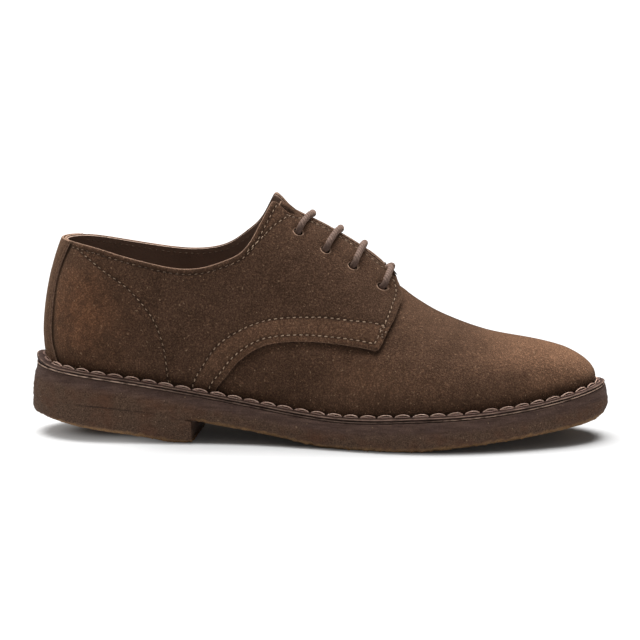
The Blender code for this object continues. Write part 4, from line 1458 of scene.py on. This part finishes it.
class Finish:
    """A procedural material under construction."""

    def __init__(self, name, roughness, specular=0.2, sheen=0.0, sheen_tint=(0.6, 0.38, 0.25)):
        self.material = bpy.data.materials.new(name)
        self.material.use_nodes = True
        self.nodes = self.material.node_tree.nodes
        self.shader = self.filled(self.nodes["Principled BSDF"], {
            "Roughness": roughness, "Specular IOR Level": specular, "Sheen Weight": sheen,
            "Sheen Roughness": 0.45, "Sheen Tint": sheen_tint})
        self.place = self.nodes.new("ShaderNodeTexCoord").outputs["Object"]

    def filled(self, node, inputs):
        """Set a node's inputs, each to a number, a vector, a colour or another node's output."""
        for name, value in inputs.items():
            socket = node.inputs[name]
            if isinstance(value, bpy.types.NodeSocket):
                self.material.node_tree.links.new(value, socket)
            else:
                socket.default_value = (*value, 1) if socket.type == "RGBA" else value
        return node

    def stretched(self, upright):
        """Places for noise that is this many times finer upright than along."""
        return self.filled(self.nodes.new("ShaderNodeMapping"), {
            "Scale": (1, 1, upright), "Vector": self.place}).outputs["Vector"]

    def noise(self, size, detail=2.0, roughness=0.5, place=None, distortion=0.0):
        """Noise whose features are size millimetres across."""
        return self.filled(self.nodes.new("ShaderNodeTexNoise"), {
            "Scale": 1000 / size, "Detail": detail, "Roughness": roughness,
            "Distortion": distortion, "Vector": place or self.place}).outputs["Fac"]

    def mark(self, name):
        """A number that the mesh gives at each point."""
        node = self.nodes.new("ShaderNodeAttribute")
        node.attribute_name = name
        return node.outputs["Fac"]

    def spread(self, value, low, high, to_low=0.0, to_high=1.0):
        """Map a range of a value to another range, clamped."""
        return self.filled(self.nodes.new("ShaderNodeMapRange"), {
            "Value": value, "From Min": low, "From Max": high, "To Min": to_low,
            "To Max": to_high}).outputs["Result"]

    def maths(self, operation, first, second):
        """Combine two numbers."""
        node = self.nodes.new("ShaderNodeMath")
        node.operation = operation
        return self.filled(node, {0: first, 1: second}).outputs[0]

    def times(self, first, second):
        """Multiply two numbers."""
        return self.maths("MULTIPLY", first, second)

    def painted(self, colour, *layers, blend="MIX"):
        """Lay colours over a first one, each given with its share."""
        for share, paint in layers:
            node = self.nodes.new("ShaderNodeMix")
            node.data_type = "RGBA"
            node.blend_type = blend
            colour = self.filled(node, {"Factor": share, 6: colour, 7: paint}).outputs[2]
        return colour

    def done(self, colour, *reliefs):
        """Close the material with its colour, and with bumps of these heights and millimetres."""
        height = 0.0
        for value, depth in reliefs:
            height = self.maths("ADD", height, self.times(value, depth * MM))
        self.filled(self.shader, {"Base Color": colour})
        if reliefs:
            bumps = self.filled(self.nodes.new("ShaderNodeBump"), {
                "Distance": 1.0, "Strength": 1.0, "Height": height})
            self.filled(self.shader, {"Normal": bumps.outputs["Normal"]})
        return self.material


def suede(name, dark, middle, light, depth):
    """Napped suede: blotches, fine fibres, and pale cut edges."""
    finish = Finish(name, 0.95, specular=0.06, sheen=0.16, sheen_tint=(0.75, 0.45, 0.27))
    spread, mark = finish.spread, finish.mark
    broad = finish.noise(30, 3, 0.55, distortion=0.6)
    patch = finish.noise(7, 3, 0.6, distortion=0.8)
    grain = finish.noise(0.85, 3, 0.65)
    fibre = finish.noise(0.5, 1, 0.6)
    fleck = finish.noise(1.3, 1, 0.5)
    colour = finish.painted(dark, (spread(broad, 0.32, 0.68), middle),
                            (spread(patch, 0.4, 0.7, 0.0, 0.4), light))
    colour = finish.painted(
        colour,
        (spread(grain, 0.52, 0.66), (1.9, 1.85, 1.78)),
        (spread(grain, 0.5, 0.36, 0.0, 0.7), (0.55, 0.53, 0.52)),
        (spread(fibre, 0.4, 0.62, 0.7, 0.0), (0.45, 0.43, 0.42)),
        # painted light on the heel counter
        (finish.times(mark("warm"), spread(patch, 0.3, 0.6, 0.2, 0.75)), (2.0, 1.66, 1.35)),
        # the quarter's lighter band, and painted light on the vamp's top and in the light patches
        (mark("band"), (2.3, 2.24, 2.12)),
        # painted shade towards the welt
        (finish.times(mark("low"), 0.75), (0.35, 0.32, 0.3)),
        blend="MULTIPLY")
    colour = finish.painted(
        colour,
        # painted shade in grooves, beside the back strip, under the quarter's edge, in the tongue's slit
        # and in the dark patches
        (finish.times(mark("groove"), 0.8), (0.014, 0.008, 0.005)),
        (finish.times(mark("raw"), spread(grain, 0.3, 0.6, 0.4, 0.95)), (0.45, 0.29, 0.205)),
        (spread(fleck, 0.7, 0.76, 0.0, 0.55), (0.3, 0.19, 0.12)))
    return finish.done(colour, (grain, depth), (fibre, depth * 0.5), (patch, 0.12))


def lining_leather(name):
    """Plain lining leather, pale along its cut edge."""
    finish = Finish(name, 0.7, specular=0.3)
    grain = finish.noise(0.9, 3, 0.6)
    raw = finish.times(finish.mark("raw"), finish.spread(grain, 0.3, 0.6, 0.6, 0.95))
    colour = finish.painted((0.145, 0.086, 0.058), (finish.noise(30, 2), (0.22, 0.134, 0.094)),
                            (raw, (0.6, 0.42, 0.32)))
    return finish.done(colour, (grain, 0.1))


def thread_cotton(name, thread_tone, dark, light, size=0.5):
    """Twisted thread; where its pale mark is low it turns to the darker thread tone, which on the welt's
    lower strand is painted shade.
    """
    finish = Finish(name, 0.7, specular=0.25, sheen=0.1)
    strand = finish.noise(size, 2, 0.6)
    cotton = finish.painted(dark, (finish.spread(strand, 0.35, 0.65), light),
                            (finish.spread(finish.noise(7, 2), 0.4, 0.7, 0.0, 0.4), dark))
    return finish.done(finish.painted(thread_tone, (finish.mark("pale"), cotton)), (strand, 0.12))


def lace_cord(name):
    """Waxed cotton, with painted shade between its strands and inside the eyelets."""
    finish = Finish(name, 0.8, specular=0.2, sheen=0.2)
    weave = finish.noise(0.55, 2, 0.6)
    colour = finish.painted(
        (0.1, 0.062, 0.048),
        (finish.spread(weave, 0.3, 0.7), (0.31, 0.21, 0.165)),
        (finish.spread(finish.noise(6, 2), 0.35, 0.7, 0.0, 0.35), (0.09, 0.055, 0.042)),
        # painted shade where the ply mark is low
        (finish.spread(finish.mark("ply"), 0.0, 0.75, 0.85, 0.0), (0.05, 0.029, 0.022)))
    return finish.done(colour, (weave, 0.16))


def crepe_rubber(name, smooth_from):
    """Dark crepe: smoother and more purple above, rough below, pale where the tread is cut."""
    finish = Finish(name, 0.85, specular=0.15)
    spread, times, painted = finish.spread, finish.times, finish.painted
    lines = finish.noise(9, 3, 0.6, finish.stretched(7))
    streak = finish.noise(9, 3, 0.7, finish.stretched(7))
    grain = finish.noise(0.65, 3, 0.7)
    pits = finish.noise(2.8, 2, 0.5)
    blot = finish.noise(14, 3, 0.6)
    speck = finish.noise(1.5, 1, 0.5)
    low = painted((0.036, 0.02, 0.013),
                  (spread(grain, 0.36, 0.64), (0.13, 0.077, 0.05)),
                  (spread(blot, 0.45, 0.7, 0.0, 0.6), (0.1, 0.043, 0.024)))
    high = painted((0.046, 0.026, 0.02),
                   (spread(lines, 0.35, 0.65), (0.09, 0.054, 0.042)),
                   (spread(blot, 0.45, 0.75, 0.0, 0.35), (0.062, 0.037, 0.034)),
                   (spread(grain, 0.5, 0.36, 0.0, 0.4), (0.035, 0.02, 0.014)),
                   (spread(grain, 0.55, 0.7, 0.0, 0.5), (0.15, 0.09, 0.06)))
    wobble = finish.maths("ADD", finish.mark("level"), spread(pits, 0.2, 0.8, -0.07, 0.07))
    cut = times(spread(wobble, 0.05, 0.2, 0.8, 0.0), finish.mark("cut"))
    crack = times(spread(streak, 0.486, 0.5), spread(streak, 0.5, 0.514, 1.0, 0.0))
    crack = times(crack, spread(blot, 0.5, 0.6, 0.0, 0.75))
    joint = times(finish.mark("joint"), spread(lines, 0.42, 0.55, 0.1, 0.9))
    colour = painted(low, (spread(wobble, smooth_from - 0.15, smooth_from + 0.15), high),
                     (times(cut, spread(grain, 0.35, 0.6, 0.35, 1.0)), (0.27, 0.155, 0.07)),
                     (finish.maths("MAXIMUM", crack, joint), (0.014, 0.008, 0.006)),
                     (spread(speck, 0.74, 0.77, 0.0, 0.6), (0.32, 0.21, 0.13)))
    return finish.done(colour, (grain, 0.3), (pits, 0.3), (lines, 0.12))


def edge_leather(name, dark, light, raw):
    """Waxed edge of welt and midsole, with a pale broken line along it; on the welt's rim that line is a
    painted highlight.
    """
    finish = Finish(name, 0.75, specular=0.1)
    lines = finish.noise(8, 3, 0.6, finish.stretched(9))
    grain = finish.noise(1.4, 3, 0.7)
    line_breaks = finish.spread(finish.noise(5, 3, 0.65, finish.stretched(4)), 0.38, 0.56, 0.15, 0.95)
    colour = finish.painted(
        dark, (finish.spread(lines, 0.35, 0.65), light),
        (finish.spread(grain, 0.5, 0.75, 0.0, 0.35), (0.12, 0.075, 0.055)),
        # the pale line, which on the welt's rim is a painted highlight
        (finish.times(finish.mark("line"), line_breaks), raw))
    return finish.done(colour, (lines, 0.12), (grain, 0.08))


def insole_leather(name):
    """Plain leather board."""
    finish = Finish(name, 0.6, specular=0.35)
    grain = finish.noise(0.9, 3, 0.6)
    colour = finish.painted(
        (0.06, 0.034, 0.022), (finish.spread(finish.noise(40, 2), 0.3, 0.7), (0.1, 0.058, 0.036)),
        (finish.spread(grain, 0.4, 0.7, 0.0, 0.3), (0.14, 0.085, 0.055)))
    return finish.done(colour, (grain, 0.08))


# --- Stage ---

CAMERA_AZIMUTH = 5.0
CAMERA_HEIGHT_ANGLE = 8.2
CAMERA_DISTANCE = 1230.0
CAMERA_TARGET = (145.0, 0.0, 61.0)
CAMERA_LENS = 130.6
CAMERA_SENSOR = 36.0


def towards(azimuth, elevation):
    """Direction to a place at these angles, seen from the shoe's lateral side."""
    turn, rise = math.radians(azimuth), math.radians(elevation)
    level = math.cos(rise)
    return Vector((level * math.sin(turn), -level * math.cos(turn), math.sin(rise)))


def add_sun(name, azimuth, elevation, strength, angle):
    """A soft distant light, so that the floor is lit evenly to the horizon."""
    data = bpy.data.lights.new(name, "SUN")
    data.energy = strength
    data.angle = math.radians(angle)
    sky = towards(azimuth, elevation)
    placed(name, data).rotation_euler = sky.to_track_quat("Z", "Y").to_euler()


def build_floor():
    """A pale floor whose painted glow lifts the shoe's shadow: darker under the shoe, as the glow fades
    towards the sole's edge.
    """
    near = (np.arange(-0.22, 0.221, 0.004), np.arange(-0.12, 0.121, 0.004))
    xs, ys = (np.concatenate(([-60.0], part, [60.0])) for part in near)
    points = np.array([(x, y, 0.0) for x in xs for y in ys])
    mesh = bpy.data.meshes.new("floor")
    mesh.from_pydata(points.tolist(), [], grid_faces(len(xs), len(ys)))
    fine = np.linspace(0, math.pi, 300)
    edge = loop_plan(fine, 5.0)
    plan = (points / MM - SHIFT)[:, :2]
    away = np.where(inside(plan, edge), -1, 1) * nearest(plan, edge)
    # painted light: the floor glows most clear of the shoe, with extra glow beside the heel to narrow its
    # shadow there
    heel = (1 - fade(plan[:, 0], 35, 85)) * (1 - fade(away, 6, 40))
    marked(mesh, "open", 0.43 * fade(away, -4, 3) + 0.14 * fade(away, 3, 60)
           + 0.43 * heel * fade(away, -26, 0))
    finish = Finish("pale_floor", 0.9, specular=0.1)
    finish.filled(finish.shader, {
        "Emission Color": finish.painted((0.008,) * 3, (finish.mark("open"), (0.6,) * 3)),
        "Emission Strength": 1.0})
    mesh.materials.append(finish.done(finish.painted((0.4,) * 3, (finish.noise(400), (0.42,) * 3))))
    floor = placed("floor", mesh)


def build_stage():
    """The floor, the light and the camera."""
    build_floor()
    world = bpy.data.worlds.new("studio")
    world.use_nodes = True
    world.node_tree.nodes["Background"].inputs["Color"].default_value = (1, 1, 1, 1)
    world.node_tree.nodes["Background"].inputs["Strength"].default_value = 0.14
    bpy.context.scene.world = world
    add_sun("overhead", 205, 78, 6.6, 55)
    add_sun("front_fill", 20, 35, 0.25, 60)
    camera = placed("camera", bpy.data.cameras.new("camera"))
    camera.data.lens = CAMERA_LENS
    camera.data.sensor_width = CAMERA_SENSOR
    camera.data.clip_end = 200
    view = towards(CAMERA_AZIMUTH, CAMERA_HEIGHT_ANGLE)
    target = Vector((np.array(CAMERA_TARGET) + SHIFT) * MM)
    camera.location = target + view * CAMERA_DISTANCE * MM
    camera.rotation_euler = view.to_track_quat("Z", "Y").to_euler()
    bpy.context.scene.camera = camera
    bpy.context.scene.view_settings.view_transform = "Standard"


# --- Everything ---

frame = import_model()
SHIFT = frame_shift()
build_stage()

quarter_suede = suede("quarter_suede", (0.058, 0.032, 0.02), (0.079, 0.044, 0.028),
                      (0.11, 0.061, 0.039), 0.35)
# vamp_suede is a little lighter than quarter_suede: painted light for the vamp's top-lit surfaces
vamp_suede = suede("vamp_suede", (0.059, 0.032, 0.02), (0.082, 0.045, 0.028),
                   (0.112, 0.062, 0.039), 0.6)
lining_finish = lining_leather("lining_leather")
seams = {side: build_quarter(side, quarter_suede, lining_finish) for side in (-1, 1)}
build_stitching(seams, thread_cotton("seam_thread", (0.05, 0.028, 0.019), (0.2, 0.12, 0.075),
                                     (0.58, 0.42, 0.29)))
build_back_strip(quarter_suede)
build_vamp(vamp_suede, lining_finish)
build_tongue(vamp_suede)
build_lace(lace_cord("lace_cord"))
build_sole(crepe_rubber("crepe_rubber", 0.62), crepe_rubber("heel_crepe_rubber", 2.0),
           edge_leather("midsole_rubber", (0.03, 0.017, 0.013), (0.06, 0.035, 0.028),
                        (0.48, 0.33, 0.25)),
           insole_leather("insole_leather"))
# the welt leather's last colour is its rim's painted highlight; the twine's first is the lower strand's
# painted shade
build_welt(edge_leather("welt_leather", (0.029, 0.016, 0.012), (0.06, 0.034, 0.027),
                        (0.24, 0.16, 0.12)),
           thread_cotton("welt_twine", (0.1, 0.05, 0.039), (0.47, 0.28, 0.205),
                         (0.85, 0.63, 0.51), 0.7))
